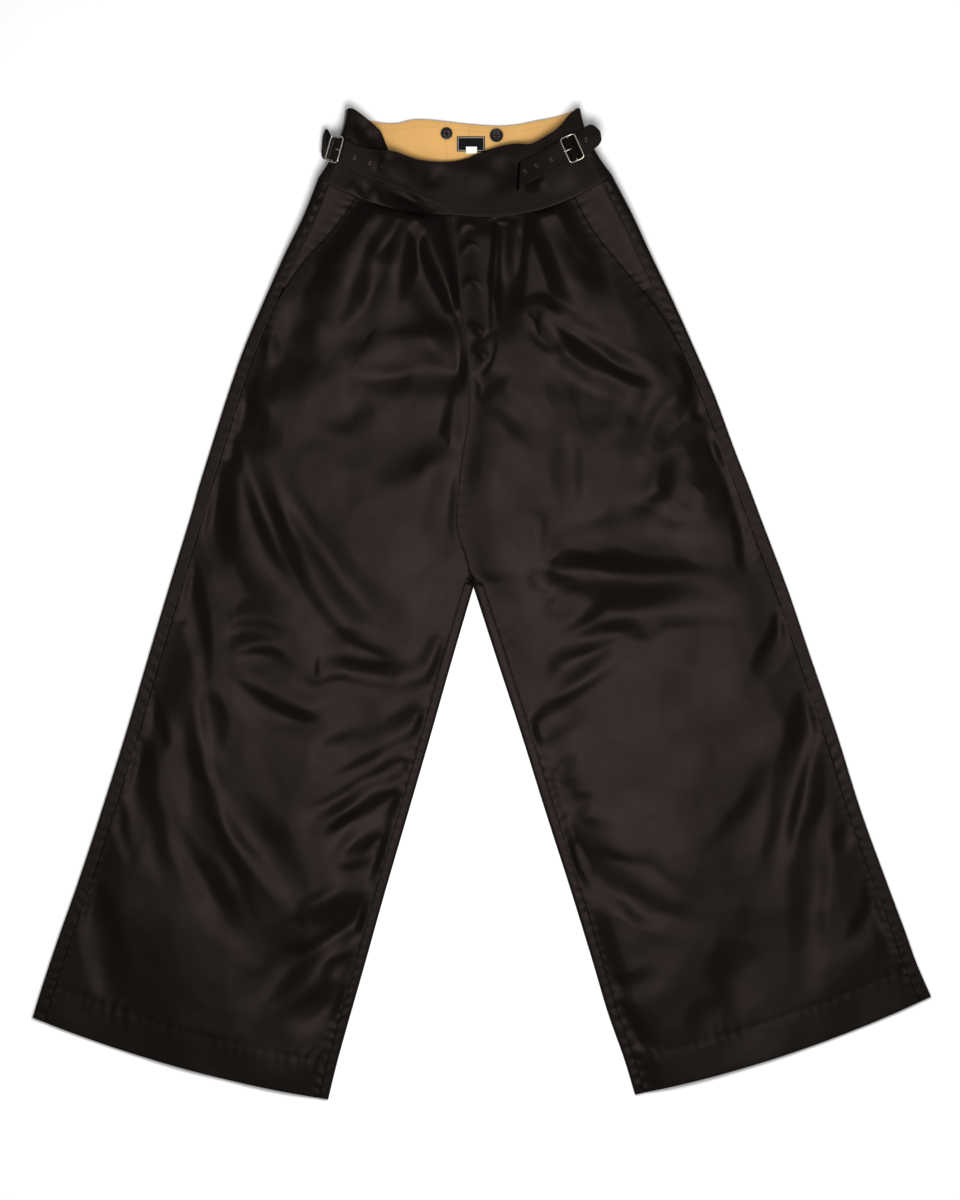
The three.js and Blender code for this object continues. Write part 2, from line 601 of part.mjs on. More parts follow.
// A band's wall. Its first rows may look straight out to the side, so that it meets the back
// band squarely there.
function ribbon(rows, columns, squareEnd) {
  const grid = ribbonGrid(rows, columns);
  const ways = waysOut(grid, up);
  if (squareEnd) ways[0] = ways[0].map(() => squareEnd);
  return closed(grid, shifted(grid, ways, i => -rows[i].wall));
}

// Straight out from a leg's side edge at the waist
function sideways(leg, topEdge) {
  const low = backPoints(leg, 0)[3];
  const edge = new THREE.Vector3(low.x - topEdge[0].x, low.y - topEdge[0].y, 0).normalize();
  return edge.cross(up).multiplyScalar(-outwardOf(leg));
}

function underBand() {
  const rows = [...bandRows(rightLeg, underBandTop), ...strapRows(underStrap, 1)];
  return ribbon(rows, 4, sideways(rightLeg, underBandTop));
}

// The over band has a slot that the other band's strap comes up through.
function overBand() {
  const rows = [...bandRows(leftLeg, overBandTop), ...strapRows(overStrap, 1)];
  const band = ribbon(rows, 4, sideways(leftLeg, overBandTop));
  const cutter = new THREE.BoxGeometry(slot.wide, slot.long, 40);
  cutter.rotateZ(THREE.MathUtils.degToRad(slot.turn));
  cutter.translate(slot.x, slot.y, 14);
  return geometryOf(solidOf(band).subtract(solidOf(cutter)));
}

// The back band lies under the fronts' bands, from side to side, rolled up at its two ends.
function backBandRows() {
  const half = leg => backPoints(leg, 0).slice(3)
    .map(point => point.add(new THREE.Vector3(0, seamGap, 0)));
  const low = [...half(rightLeg), ...half(leftLeg).reverse()];
  const last = low.length - 1;
  const along = point => (point.x - low[0].x) / (low[last].x - low[0].x);
  return low.map((point, i) => {
    const [x, y] = alongEdge(backBandTop, along(point));
    const end = i === 0 || i === last;
    const lowered = end ? seamGap / 2 : 0;
    const side = i < last / 2 ? -1 : 1;
    const bow = sideBow * side * (1 - smooth(0, 0.45, Math.min(along(point), 1 - along(point))));
    return {
      top: new THREE.Vector3(x, y, point.z - lowered),
      low: point.clone().add(new THREE.Vector3(0, 0, -lowered)),
      bow,
    };
  });
}

function backBand() {
  const grid = ribbonGrid(backBandRows(), 4);
  const ways = waysOut(grid, down);
  ways[0] = ways[0].map(() => sideways(rightLeg, underBandTop));
  ways[ways.length - 1] = ways[0].map(() => sideways(leftLeg, overBandTop));
  return closed(grid, shifted(grid, ways, -bandWall));
}

// The lining lies inside the back band and shows above the fronts' bands.
function backLining() {
  const rows = backBandRows();
  const grid = ribbonGrid(rows, 4);
  const ways = waysOut(grid, down).slice(1, -1);
  const shown = ribbonGrid(rows, 4, liningTurn / bandDepth, liningDepth / bandDepth).slice(1, -1);
  const outside = -(bandWall + layerGap);
  return closed(shifted(shown, ways, outside), shifted(shown, ways, outside - liningWall));
}

// Height of a band's upper face at one place
function bandLevel(rows, x, y) {
  const across = row => {
    const f = (row.top.y - y) / (row.top.y - row.low.y);
    const point = new THREE.Vector3().lerpVectors(row.top, row.low, f);
    point.x -= (row.bow ?? 0) * 4 * f * (1 - f);
    return point;
  };
  for (let i = 0; i < rows.length - 1; i += 1) {
    const a = across(rows[i]);
    const b = across(rows[i + 1]);
    const f = (x - a.x) / (b.x - a.x);
    if (f >= 0 && f <= 1) return a.z + (b.z - a.z) * f;
  }
  throw new Error(`no band at ${x}, ${y}`);
}

// A flat patch laid on a band: its corners are given in order round it.
function patchOnBand(rows, edges, wall) {
  const lift = new THREE.Vector3(0, 0, patchGap + wall);
  const steps = 3;
  const sides = Array.from({ length: (edges.length - 1) * steps + 1 }, (_, i) => {
    const from = Math.min(Math.floor(i / steps), edges.length - 2);
    const f = i / steps - from;
    return edges[from].map((value, k) => value + (edges[from + 1][k] - value) * f);
  });
  const grid = sides.map(([x0, y0, x1, y1]) => Array.from({ length: steps + 1 }, (_, j) => {
    const x = x0 + (x1 - x0) * j / steps;
    const y = y0 + (y1 - y0) * j / steps;
    return new THREE.Vector3(x, y, bandLevel(rows, x, y)).add(lift);
  }));
  return wallFrom(grid, wall, up, true);
}

// Small flat things on the lining
function buttonGeometry() {
  const disc = new THREE.Shape();
  disc.absarc(0, 0, button.across / 2, 0, 2 * Math.PI);
  for (let i = 0; i < 4; i += 1) {
    const angle = Math.PI / 4 + i * Math.PI / 2;
    const hole = new THREE.Path();
    hole.absarc(button.holeRing * Math.cos(angle), button.holeRing * Math.sin(angle),
      button.hole, 0, 2 * Math.PI, true);
    disc.holes.push(hole);
  }
  return new THREE.ExtrudeGeometry(disc, {
    depth: button.thick, bevelEnabled: false, curveSegments: 8 });
}

function patchGeometry({ wide, high, thick }) {
  return new THREE.BoxGeometry(wide, high, thick).translate(0, 0, thick / 2);
}

// A buckle's frame: a rounded ring of wire with a bar across its middle, which the strap
// passes over.
function wireRing(points, radius, sides) {
  const count = points.length;
  const positions = [];
  const index = [];
  const middle = new THREE.Vector3();
  for (const point of points) middle.addScaledVector(point, 1 / count);
  points.forEach((point, i) => {
    const along = new THREE.Vector3().subVectors(points[(i + 1) % count],
      points[(i + count - 1) % count]).normalize();
    const out = new THREE.Vector3().crossVectors(along, up).normalize();
    const rise = new THREE.Vector3().crossVectors(out, along).normalize();
    for (let k = 0; k < sides; k += 1) {
      const angle = 2 * Math.PI * k / sides;
      const p = point.clone().addScaledVector(out, radius * Math.cos(angle))
        .addScaledVector(rise, radius * Math.sin(angle));
      positions.push(p.x, p.y, p.z);
      const next = (i + 1) % count;
      const beside = (k + 1) % sides;
      const [a, b] = [i * sides + k, next * sides + k];
      const [c, d] = [next * sides + beside, i * sides + beside];
      index.push(a, b, c, a, c, d);
    }
  });
  return outward(positions, index);
}

function buckleFrame() {
  const { long, wide, wire, corner } = buckle;
  const halfWide = wide / 2 - wire;
  const halfLong = long / 2 - wire;
  const points = [];
  const corners = [[1, 1, 0], [-1, 1, 1], [-1, -1, 2], [1, -1, 3]];
  for (const [sx, sy, quarter] of corners) {
    for (let k = 0; k <= 4; k += 1) {
      const angle = (quarter + k / 4) * Math.PI / 2;
      const x = sx * (halfWide - corner) + corner * Math.cos(angle);
      const y = sy * (halfLong - corner) + corner * Math.sin(angle);
      points.push(new THREE.Vector3(x, y, 0));
    }
  }
  const ring = solidOf(wireRing(points, wire, 8));
  const bar = new THREE.CylinderGeometry(wire, wire, 2 * halfLong, 8);
  return geometryOf(ring.add(solidOf(bar)));
}

// The prong lies on the strap over the bar, and its tip on the end of the ring nearer the fly.
function buckleProng() {
  const { wide, wire } = buckle;
  const thin = 0.7;
  const length = wide / 2 + 0.6;
  const tipHigh = wire + seamGap / 2 + thin;
  const rootHigh = wire + 2 * seamGap + strapWall + 0.6 + thin;
  const lean = Math.atan2(tipHigh - rootHigh, length);
  return new THREE.CylinderGeometry(thin * 0.7, thin, length, 8)
    .rotateZ(Math.PI / 2).rotateY(lean)
    .translate(-length / 2, 0, (tipHigh + rootHigh) / 2);
}

function layBuckle(geometry, { side, x, y, high, turn, tip }) {
  if (side === 'right') geometry.rotateZ(Math.PI);
  return geometry.rotateY(THREE.MathUtils.degToRad(tip))
    .rotateZ(THREE.MathUtils.degToRad(turn)).translate(x, y, high);
}

const rightLeg = makeLeg(rightSections, rightFolds, 'right');
const leftLeg = makeLeg(leftSections, leftFolds, 'left');

const group = new THREE.Group();
function add(name, geometry, material) {
  const mesh = new THREE.Mesh(geometry, material);
  mesh.name = name;
  group.add(mesh);
}

add('front_right', frontPanel(rightLeg), cloth);
add('front_left', frontPanel(leftLeg), cloth);
add('back_right', backPanel(rightLeg), cloth);
add('back_left', backPanel(leftLeg), cloth);
add('pocket_facing_right', pocketFacing(rightLeg), cloth);
add('pocket_facing_left', pocketFacing(leftLeg), cloth);
add('under_band', underBand(), cloth);
add('over_band', overBand(), cloth);
add('back_band', backBand(), cloth);
add('back_lining', backLining(), tan);
add('slot_welt', patchOnBand(bandRows(leftLeg, overBandTop), welt.edges, welt.wall), cloth);
for (const { name, leg, edge, edges } of tabs) {
  add(name, patchOnBand(bandRows(leg(), edge), edges, tabWall), cloth);
}
for (const place of buckles) {
  add(`buckle_${place.side}`, layBuckle(buckleFrame(), place), nickel);
  add(`prong_${place.side}`, layBuckle(buckleProng(), place), nickel);
}
const onLining = bandWall + layerGap + liningWall + seamGap;
for (const { name, x, y } of buttonPlaces) {
  add(name, buttonGeometry().translate(x, y, onLining), horn);
}
add('label', patchGeometry(label).translate(label.x, label.y, onLining), labelCloth);
const onLabel = onLining + label.thick + seamGap;
add('size_tag', patchGeometry(sizeTag).translate(sizeTag.x, sizeTag.y, onLabel), tagCloth);

// The origin is the middle of the part's box, on the table.
const box = new THREE.Box3().setFromObject(group);
const middle = box.getCenter(new THREE.Vector3());
for (const mesh of group.children) mesh.position.set(-middle.x, -middle.y, -box.min.z);

export default group;
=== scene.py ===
import math

import bmesh
import bpy
import numpy as np
from mathutils import Matrix, Vector
from mathutils.bvhtree import BVHTree


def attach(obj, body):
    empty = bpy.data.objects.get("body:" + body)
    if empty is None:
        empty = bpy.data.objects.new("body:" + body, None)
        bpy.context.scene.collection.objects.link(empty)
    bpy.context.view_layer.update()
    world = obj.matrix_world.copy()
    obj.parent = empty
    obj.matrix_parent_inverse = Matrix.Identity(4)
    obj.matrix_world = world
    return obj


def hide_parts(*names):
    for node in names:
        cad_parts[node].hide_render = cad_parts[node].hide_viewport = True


# gurkha trousers laid flat, front up. sizes are in mm until a mesh is made, then metres
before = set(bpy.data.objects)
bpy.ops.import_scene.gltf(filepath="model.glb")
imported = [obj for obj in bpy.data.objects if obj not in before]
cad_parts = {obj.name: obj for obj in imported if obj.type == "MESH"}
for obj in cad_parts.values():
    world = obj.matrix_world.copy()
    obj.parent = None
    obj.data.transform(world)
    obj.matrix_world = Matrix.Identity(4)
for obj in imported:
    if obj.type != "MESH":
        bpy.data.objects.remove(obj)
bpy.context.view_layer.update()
scene = bpy.context.scene
middle = (0.3, 0.34)  # middle of the solids' box in the sections' own mm

sectionColumns = ("outerX", "outerY", "innerX", "innerY", "sag", "slash", "outerHigh", "innerHigh", "lift")
rightSections = [
    [-183.1, 477.7, -34.7, 437.4, 11, 48, 24, 7.2, 0],
    [-199.9, 435.1, -27.8, 389.2, 11, 36, 20, 7.6, 1],
    [-221.2, 391.4, -23, 337.7, 11, 22, 15, 7.8, 2],
    [-243.6, 341, -14.8, 280.6, 11, 13, 11, 8, 3],
    [-266.6, 286.2, -12.9, 217.8, 11, 13, 8.5, 8, 3.5],
    [-285, 233.5, -20.7, 163, 11, 13, 7, 7.5, 4],
    [-304.1, 173, -27.4, 94.6, 11, 13, 6.4, 7, 4],
    [-317, 131.6, -17.4, 53.2, 11, 13, 6, 6.5, 4],
    [-325.4, 101.4, -9, 19.6, 11, 13, 6, 6, 4],
    [-350.6, 18.5, -34.2, -66.6, 11, 13, 6, 6, 4],
    [-374.6, -62.2, -57.1, -147.3, 11, 13, 6, 6, 4],
    [-399.3, -146.2, -81.8, -232.4, 10, 13, 6, 6, 4],
    [-427.8, -236.9, -108.6, -324.2, 10, 13, 6, 6, 4],
    [-452.5, -311.9, -129.9, -400.4, 10, 13, 6, 6, 4],
    [-474.3, -373.5, -147.8, -463.1, 10, 13, 6, 6, 3.5],
    [-490.8, -422.5, -161.8, -513.5, 10, 13, 5.6, 5.6, 2.5],
    [-503.4, -463.1, -171.9, -555, 10, 13, 5.4, 5.4, 1.5],
]
leftSections = [
    [146.2, 481, -34.7, 437.4, 19, 47, 24, 10, 0],
    [169, 437.4, -27.8, 389.2, 16, 46, 20, 10, 1],
    [189.8, 392.6, -23, 337.7, 13, 34, 15, 10, 2],
    [214.5, 341, -14.8, 280.6, 12, 20, 11, 9.8, 3],
    [239.1, 286.2, -12.9, 217.8, 11, 13, 8.5, 9.4, 3.5],
    [261.7, 233.5, -20.7, 163, 11, 13, 7, 9, 4],
    [283.9, 173, -27.4, 94.6, 11, 13, 6.4, 9, 4],
    [300.3, 131.6, -17.4, 53.2, 11, 13, 6, 8.6, 4],
    [311.4, 101.4, -9, 19.6, 11, 13, 6, 7.4, 4],
    [342.4, 19.6, 18.5, -65.5, 11, 13, 6, 6, 4],
    [369, -58.8, 44.5, -145, 11, 13, 6, 6, 4],
    [397.7, -142.8, 71.1, -230.2, 10, 13, 6, 6, 4],
    [425, -230.2, 99.1, -317.5, 10, 13, 6, 6, 4],
    [451.7, -304.1, 122.6, -393.7, 10, 13, 6, 6, 4],
    [474.3, -364.6, 141.2, -456.4, 10, 13, 6, 6, 3.5],
    [487.1, -400.4, 159.6, -508.6, 10, 13, 5.6, 5.6, 2.5],
    [504, -439.6, 171.9, -549.4, 11, 13, 5.4, 5.4, 1.5],
]
# each fold: name, the line it follows, half width, rise (a valley falls), steep side (+ left of its way)
rightFolds = [
    ["pleat beside the pocket", [[-115, 442], [-138, 390], [-157, 343], [-175, 292]], 15, 10.5, 1],
    ["pleat nearer the fly", [[-80, 440], [-88, 405], [-95, 363], [-104, 318]], 11, 8.5, 1],
    ["roll inside the pleats", [[-72, 449], [-60, 415], [-50, 386], [-29, 341]], 9, 6.8, 0],
    ["hollow under the roll", [[-79, 408], [-68, 372], [-48, 328], [-29, 303]], 10, -4, 0],
    ["hollow below the pocket", [[-214, 346], [-212, 307], [-220, 274], [-237, 234]], 13, -4, 0],
    ["swell between pocket and pleat", [[-188, 321], [-190, 296], [-185, 269]], 14, 2.5, 0],
    ["pucker at the pocket end", [[-245, 303], [-238, 285], [-236, 265]], 6, 3, 0],
    ["pucker below the pocket end", [[-253, 254], [-247, 229], [-228, 218]], 7, 2.5, 0],
    ["curled end of the pleats", [[-151, 296], [-136, 278], [-102, 277], [-63, 291], [-33, 285]], 11, 4, 0],
    ["cross hollow below the pleats", [[-29, 266], [-86, 264], [-161, 257]], 15, -5, 0],
    ["hip hollow", [[-197, 227], [-153, 216], [-120, 223]], 14, -3, 0],
    ["crotch hollow", [[-26, 240], [-55, 193], [-94, 166], [-134, 142]], 16, -4, 0],
    ["crotch ridge", [[-14, 258], [-26, 234], [-35, 193]], 6, 3, 0],
    ["inner thigh hollow", [[-36, 119], [-54, 72], [-94, 18]], 14, -2.5, 0],
    ["hip hollow at the side seam", [[-273, 212], [-253, 191], [-221, 189]], 12, -4, 0],
    ["side crease at the hip", [[-286, 188], [-279, 166], [-270, 145]], 6, -4, 0],
    ["thigh ridge", [[-248, 160], [-214, 80], [-170, 3], [-123, -41], [-58, -58]], 9, 6, 0],
    ["thigh valley inside the ridge",
     [[-235, 153], [-203, 92], [-153, 14], [-108, -15], [-69, -30]], 15, -5, 0],
    ["thigh valley outside the ridge", [[-268, 184], [-246, 114], [-221, 58], [-190, -2]], 8, -5, 0],
    ["outer thigh ridge", [[-290, 171], [-270, 100], [-246, 36], [-208, -11]], 11, 4, 0],
    ["outer thigh valley", [[-296, 162], [-301, 117], [-296, 72], [-283, 45]], 9, -4.5, 0],
    ["outer knee hollow", [[-309, 27], [-259, 6], [-210, -4]], 16, -3.5, 0],
    ["knee cross ridge", [[-286, -20], [-246, -16], [-201, -22]], 9, 3, 0],
    ["knee cross valley", [[-288, -43], [-262, -29], [-221, -33]], 8, -4, 0],
    ["lower knee cross ridge", [[-286, -52], [-254, -43], [-212, -51]], 7, 3, 0],
    ["lower knee cross valley", [[-277, -59], [-242, -60], [-208, -80]], 8, -3.5, 0],
    ["hanging knee ridge", [[-288, -69], [-246, -96], [-210, -114], [-183, -115], [-151, -95]], 8, 4, 0],
    ["knee pocket", [[-185, -78], [-158, -51], [-132, -53], [-102, -67], [-62, -71]], 12, -6, 0],
    ["lip of the knee pocket",
     [[-201, -67], [-186, -83], [-163, -74], [-102, -81], [-64, -74], [-48, -53]], 7, 4, 0],
    ["long side crease", [[-333, 50], [-322, -1], [-313, -45], [-309, -100]], 6, -4.5, 0],
    ["small side pucker", [[-349, -11], [-330, -22]], 4, -3, 0],
    ["valley below the hanging ridge", [[-279, -85], [-246, -111], [-203, -132], [-170, -144]], 9, -5, 0],
    ["short inseam valley", [[-132, -139], [-165, -160], [-192, -162]], 6, -3.5, 0],
    ["inseam valley at the knee", [[-72, -133], [-109, -152], [-153, -176], [-192, -195]], 8, -5, 0],
    ["inseam valley below the knee", [[-88, -186], [-118, -197], [-158, -219], [-206, -236]], 7, -4, 0],
    ["inseam ridge below the knee", [[-89, -198], [-125, -212], [-164, -239], [-197, -259]], 7, 4, 0],
    ["calf inseam valley", [[-94, -218], [-129, -235], [-161, -259], [-175, -284]], 8, -4.5, 0],
    ["thin calf inseam crease", [[-105, -258], [-134, -275], [-157, -290]], 5, -4, 0],
    ["short deep calf crease", [[-111, -278], [-135, -298], [-170, -304]], 9, -6, 0],
    ["long shin crease", [[-337, -89], [-330, -164], [-315, -213], [-300, -262], [-282, -288]], 8, -5, 0],
    ["upper shin crease", [[-311, -87], [-303, -129], [-298, -172]], 7, -4, 0],
    ["long shin ridge",
     [[-320, -96], [-314, -174], [-302, -228], [-277, -270], [-246, -302], [-207, -356]], 8, 5, 0],
    ["big shin valley",
     [[-344, -228], [-320, -273], [-302, -313], [-286, -351], [-269, -385]], 13, -6.5, 0],
    ["ridge beside the big valley",
     [[-333, -223], [-315, -257], [-297, -293], [-279, -331], [-255, -376]], 8, 4.5, 0],
    ["inner shin valley",
     [[-300, -214], [-264, -244], [-239, -277], [-217, -313], [-202, -347]], 12, -6.5, 0],
    ["ridge turning to the inseam", [[-208, -357], [-181, -334], [-145, -318]], 8, 4, 0],
    ["lower ridge turning to the inseam",
     [[-226, -368], [-201, -376], [-179, -366], [-143, -344]], 8, 4, 0],
    ["deep hem valley", [[-138, -353], [-174, -377], [-208, -405], [-246, -438], [-284, -477]], 14, -7, 0],
    ["ridge below the hem valley", [[-143, -375], [-181, -400], [-214, -432], [-257, -474]], 9, 4, 0],
    ["outer shin valley", [[-390, -165], [-380, -219], [-369, -268], [-349, -315]], 9, -5, 0],
    ["outer hem valley", [[-445, -323], [-428, -365], [-424, -415], [-406, -452]], 10, -5, 0],
    ["thin outer shin crease", [[-376, -94], [-365, -135], [-352, -167]], 6, -3, 0],
    ["short outer calf crease", [[-410, -237], [-396, -269], [-388, -291]], 7, -3, 0],
    ["hem crease at the inseam", [[-143, -442], [-181, -456], [-217, -478]], 9, -4.5, 0],
    ["small hem crease at the inseam", [[-143, -397], [-164, -405], [-181, -413]], 6, -3.5, 0],
]
leftFolds = [
    ["deep pleat beside the fly", [[33, 440], [29, 384], [26, 341], [26, 290]], 9, -8.5, 0],
    ["rolled edge of the deep pleat", [[39, 437], [36, 403], [33, 357]], 5, 4.5, 0],
    ["pleat towards the pocket", [[66, 440], [88, 386], [104, 346], [113, 314]], 15, 10.5, -1],
    ["upper roll across the hip",
     [[44, 322], [51, 331], [67, 334], [83, 323], [109, 306], [161, 278], [220, 249]], 9, 6, 0],
    ["valley between the hip rolls", [[69, 319], [88, 309], [115, 292], [171, 260], [202, 246]], 9, -6, 0],
    ["lower roll across the hip", [[55, 315], [80, 300], [115, 274], [171, 244], [211, 240]], 8, 5, 0],
    ["short crease below the rolls", [[53, 312], [77, 293], [94, 277]], 6, -4, 0],
    ["broad hollow below the rolls", [[72, 230], [122, 247], [180, 238]], 22, -4.5, 0],
    ["hip hollow", [[218, 240], [194, 227], [178, 195], [148, 171]], 13, -4, 0],
    ["hip ridge at the side", [[230, 265], [218, 229], [194, 186], [178, 157]], 8, 4, 0],
    ["crease beside the hip ridge", [[226, 230], [209, 202], [195, 169]], 7, -4, 0],
    ["hooked ridge", [[214, 170], [200, 136], [184, 122], [158, 118]], 8, 3.5, 0],
    ["hooked hollow", [[266, 176], [241, 155], [222, 148], [213, 117], [175, 111]], 12, -4.5, 0],
    ["stitched edge of the fly",
     [[18.5, 438], [16, 410], [14, 382.5], [11.8, 341], [14, 301.8], [12.9, 285],
      [8.4, 271.6], [-0.6, 258.2], [-11, 252]], 1.7, -1.3, 0],
    ["first arch of the fly", [[-25, 420], [-15, 427], [-4, 421]], 2.4, 2.3, 0],
    ["second arch of the fly", [[-23, 397], [-13, 404], [-2, 399]], 2.4, 2.1, 0],
    ["third arch of the fly", [[-22, 355], [-11, 362], [0, 354]], 2.4, 2.6, 0],
    ["fourth arch of the fly", [[-21, 307], [-11, 314], [-1, 306]], 2.4, 2.3, 0],
    ["last arch of the fly", [[-17, 277], [-7, 284], [2, 278]], 2.4, 2, 0],
    ["crease across the fly", [[-10, 297], [4, 302], [22, 312]], 2, -1.3, 0],
    ["small crease at the side seam", [[250, 227], [238, 206]], 5, -3, 0],
    ["side crease at the thigh", [[268, 173], [281, 142], [284, 117], [278, 92]], 5, -3, 0],
    ["side crease above the knee", [[292, 97], [294, 61], [296, 32]], 5.5, -2.8, 0],
    ["soft centre crease", [[102, 191], [99, 148], [104, 101]], 8, -2.5, 0],
    ["crease from the fly", [[5, 238], [27, 219], [50, 197], [68, 172]], 9, -3, 0],
    ["short crease from the fly", [[4, 244], [17, 253], [36, 264]], 6, -2.6, 0],
    ["arched crease", [[57, 99], [51, 74], [53, 48]], 7, -2, 0],
    ["arched ridge", [[68, 108], [61, 81], [61, 52]], 7, 2, 0],
    ["broad thigh valley", [[294, 72], [200, 75], [133, 74], [74, 64]], 16, -7, 0],
    ["thigh ridge", [[62, 51], [76, 35], [113, 36], [178, 27], [229, 29], [298, 20]], 13, 9.5, 0],
    ["curl at the end of the ridge", [[53, 44], [72, 23], [110, 21]], 7, -4, 0],
    ["short slanted valley", [[68, -10], [95, 5], [126, 15]], 8, -3, 0],
    ["slanted ridge", [[70, -39], [105, -14], [133, 5], [163, 21]], 8, 3.5, 0],
    ["knee valley", [[321, -16], [234, -5], [153, -12], [124, -27], [86, -44]], 15, -7.5, 0],
    ["slanted knee ridge", [[76, -58], [115, -45], [151, -30], [180, -21]], 7, 4, 0],
    ["slanted knee valley", [[70, -102], [95, -71], [130, -49], [157, -32]], 10, -5.5, 0],
    ["lower slanted ridge", [[80, -109], [113, -85], [160, -50]], 8, 4, 0],
    ["lower slanted valley", [[64, -143], [77, -129], [95, -117], [126, -91]], 9, -6, 0],
    ["side crease at the knee", [[341, -10], [330, -40], [316, -64], [306, -85]], 7, -5, 0],
    ["first inseam ripple", [[83, -198], [92, -182], [108, -167]], 6, -3, 0],
    ["second inseam ripple", [[87, -227], [97, -210], [111, -195]], 6, -3, 0],
    ["third inseam ripple", [[96, -247], [108, -223], [130, -214]], 6, -3.5, 0],
    ["deep calf valley", [[108, -287], [139, -305], [178, -328], [216, -347], [263, -374]], 15, -9.5, 0],
    ["ridge above the calf valley", [[117, -285], [162, -304], [209, -329], [251, -352]], 9, 4.5, 0],
    ["curved shin hollow", [[329, -170], [310, -219], [287, -255], [242, -283]], 11, -3.5, 0],
    ["long shin crease", [[375, -107], [360, -158], [343, -221], [332, -277], [321, -333]], 8, -5.5, 0],
    ["shin ridge", [[378, -154], [367, -204], [358, -247], [352, -300]], 7, 3.5, 0],
    ["outer shin hollow", [[385, -203], [374, -264], [371, -331], [368, -398], [362, -447]], 10, -4.5, 0],
    ["outer hem crease", [[446, -313], [432, -353], [408, -382]], 8, -4, 0],
    ["short outer crease", [[422, -248], [408, -262], [403, -286]], 6, -3, 0],
    ["soft hem hollow", [[291, -374], [281, -412], [269, -474]], 13, -3, 0],
    ["hem crease at the inseam", [[154, -426], [178, -425], [202, -407]], 8, -4, 0],
    ["lower hem crease at the inseam", [[155, -461], [175, -488], [202, -497]], 6, -3.5, 0],
    ["hem dimple", [[231, -453], [251, -461], [272, -466]], 12, -3, 0],
    ["outer hem dimple", [[452, -356], [458, -380], [462, -403]], 9, -2.5, 0],
]
print("tables read")

# the legs' surface. crotch, fork and flyEnds are places down the table of sections

cloth = {
    "wall": 1.0, "step": 2.9, "gap": 0.14, "overlap": 1.2, "sideLap": 13, "inseamLap": 10.5,
    "lowest": 2.4, "pillow": 45, "seamReach": 13, "pocketReach": 15, "waistReach": 8, "calmSide": 42,
    "calmInner": 26, "calmWaist": 26, "crotch": 7.4, "fork": 8, "flyEnds": (6.2, 7.2), "columns": 118,
    "hemDeep": 42, "hemDip": 0.45, "pressed": 0.42, "bluntest": 1.2,
}
swells = ((3.6, 105, 8), (1.5, 48, 2), (0.3, 19, 3), (0.07, 6.5, 6))  # height, spacing and seed of each
creases = {"gentle": 3.4, "steep": 2, "plain": 2.6, "height": 0.95, "narrowEnd": 0.65, "heldWithin": 22,
           "short": 70, "shortWidth": 0.75, "shortRise": 0.35, "calmRise": 0.76, "calmFrom": 130,
           "calmTo": -60, "lean": 0.6}
pucker = {"high": 0.6, "pitch": 12.5, "reach": 7.5, "slant": 0.7}
pocketFacing = {"rows": 2.6, "under": 9, "below": 1.4, "falls": 0.07, "swell": 0.4}


def smooth(low, high, value):
    t = np.clip((value - low) / (high - low), 0, 1)
    return t * t * (3 - 2 * t)


def between(values, t, corner=0):  # curve through a table's rows, with a corner at one of them
    values = np.asarray(values, float)
    last = len(values) - 1
    t = np.asarray(t, float)
    i = np.clip(np.floor(t).astype(int), 0, last - 1)
    f = t - i
    low = np.where(i < corner, 0, corner)
    high = np.where(i < corner, corner, last)
    a, b, c, d = (values[np.clip(i + k, low, high)] for k in (-1, 0, 1, 2))
    return b + 0.5 * f * (c - a + f * (2 * a - 5 * b + 4 * c - d + f * (3 * (b - c) + d - a)))


def awayFrom(line, point):  # shortest way from a point to a line of points
    line = np.array(line, float)
    start, way = line[:-1], np.diff(line, axis=0)
    f = np.clip(((point - start) * way).sum(1) / (way ** 2).sum(1), 0, 1)
    return np.hypot(*(point - start - way * f[:, None]).T).min()


def traceFolds(folds, seams=()):
    traced = []
    for name, line, halfWidth, rise, lean in folds:
        line = np.array(line, float)
        t = np.linspace(0, len(line) - 1, 5 * (len(line) - 1) + 1)
        points = np.stack([between(line[:, 0], t), between(line[:, 1], t)], 1)
        # an end that a seam holds keeps its full depth there, and a free end fades out
        held = [any(awayFrom(seam, end) < creases["heldWithin"] for seam in seams) for end in line[[0, -1]]]
        # the cloth lies calmer down the legs, and short folds are shallow
        calm, wide, deep = creases["calmRise"], creases["shortWidth"], creases["shortRise"]
        rise *= calm + (1 - calm) * float(smooth(creases["calmTo"], creases["calmFrom"], line[:, 1].mean()))
        small = min(1, np.hypot(*np.diff(line, axis=0).T).sum() / creases["short"])
        if halfWidth > 3:
            halfWidth, rise = halfWidth * (wide + (1 - wide) * small), rise * (deep + (1 - deep) * small)
        traced.append({"points": points, "halfWidth": halfWidth, "rise": rise, "lean": lean, "held": held})
    return traced


def makeLeg(sections, folds, outward):
    rows = np.array(sections, float)
    seams = (rows[:, 0:2], rows[:, 2:4], rows[0, :4].reshape(2, 2))
    return {"rows": rows, "folds": traceFolds(folds, seams), "outward": outward}


def sectionAt(leg, t):
    corners = {name: cloth["fork"] if name.startswith("inner") else 0 for name in sectionColumns}
    return {name: between(leg["rows"][:, k], t, corners[name]) for k, name in enumerate(sectionColumns)}


def widthOf(row):
    return np.hypot(row["innerX"] - row["outerX"], row["innerY"] - row["outerY"])


def roundSide(r, angle):  # inset and height round a turned edge, squarer above where it is pressed flat
    flat = cloth["pressed"] if angle < math.pi / 2 else 1
    out = r * math.sin(angle) ** flat
    inset = np.maximum(np.minimum(r, cloth["sideLap"] - cloth["bluntest"]) - out, cloth["gap"] / 2)
    return inset, r + r * math.copysign(abs(math.cos(angle)) ** flat, math.cos(angle))


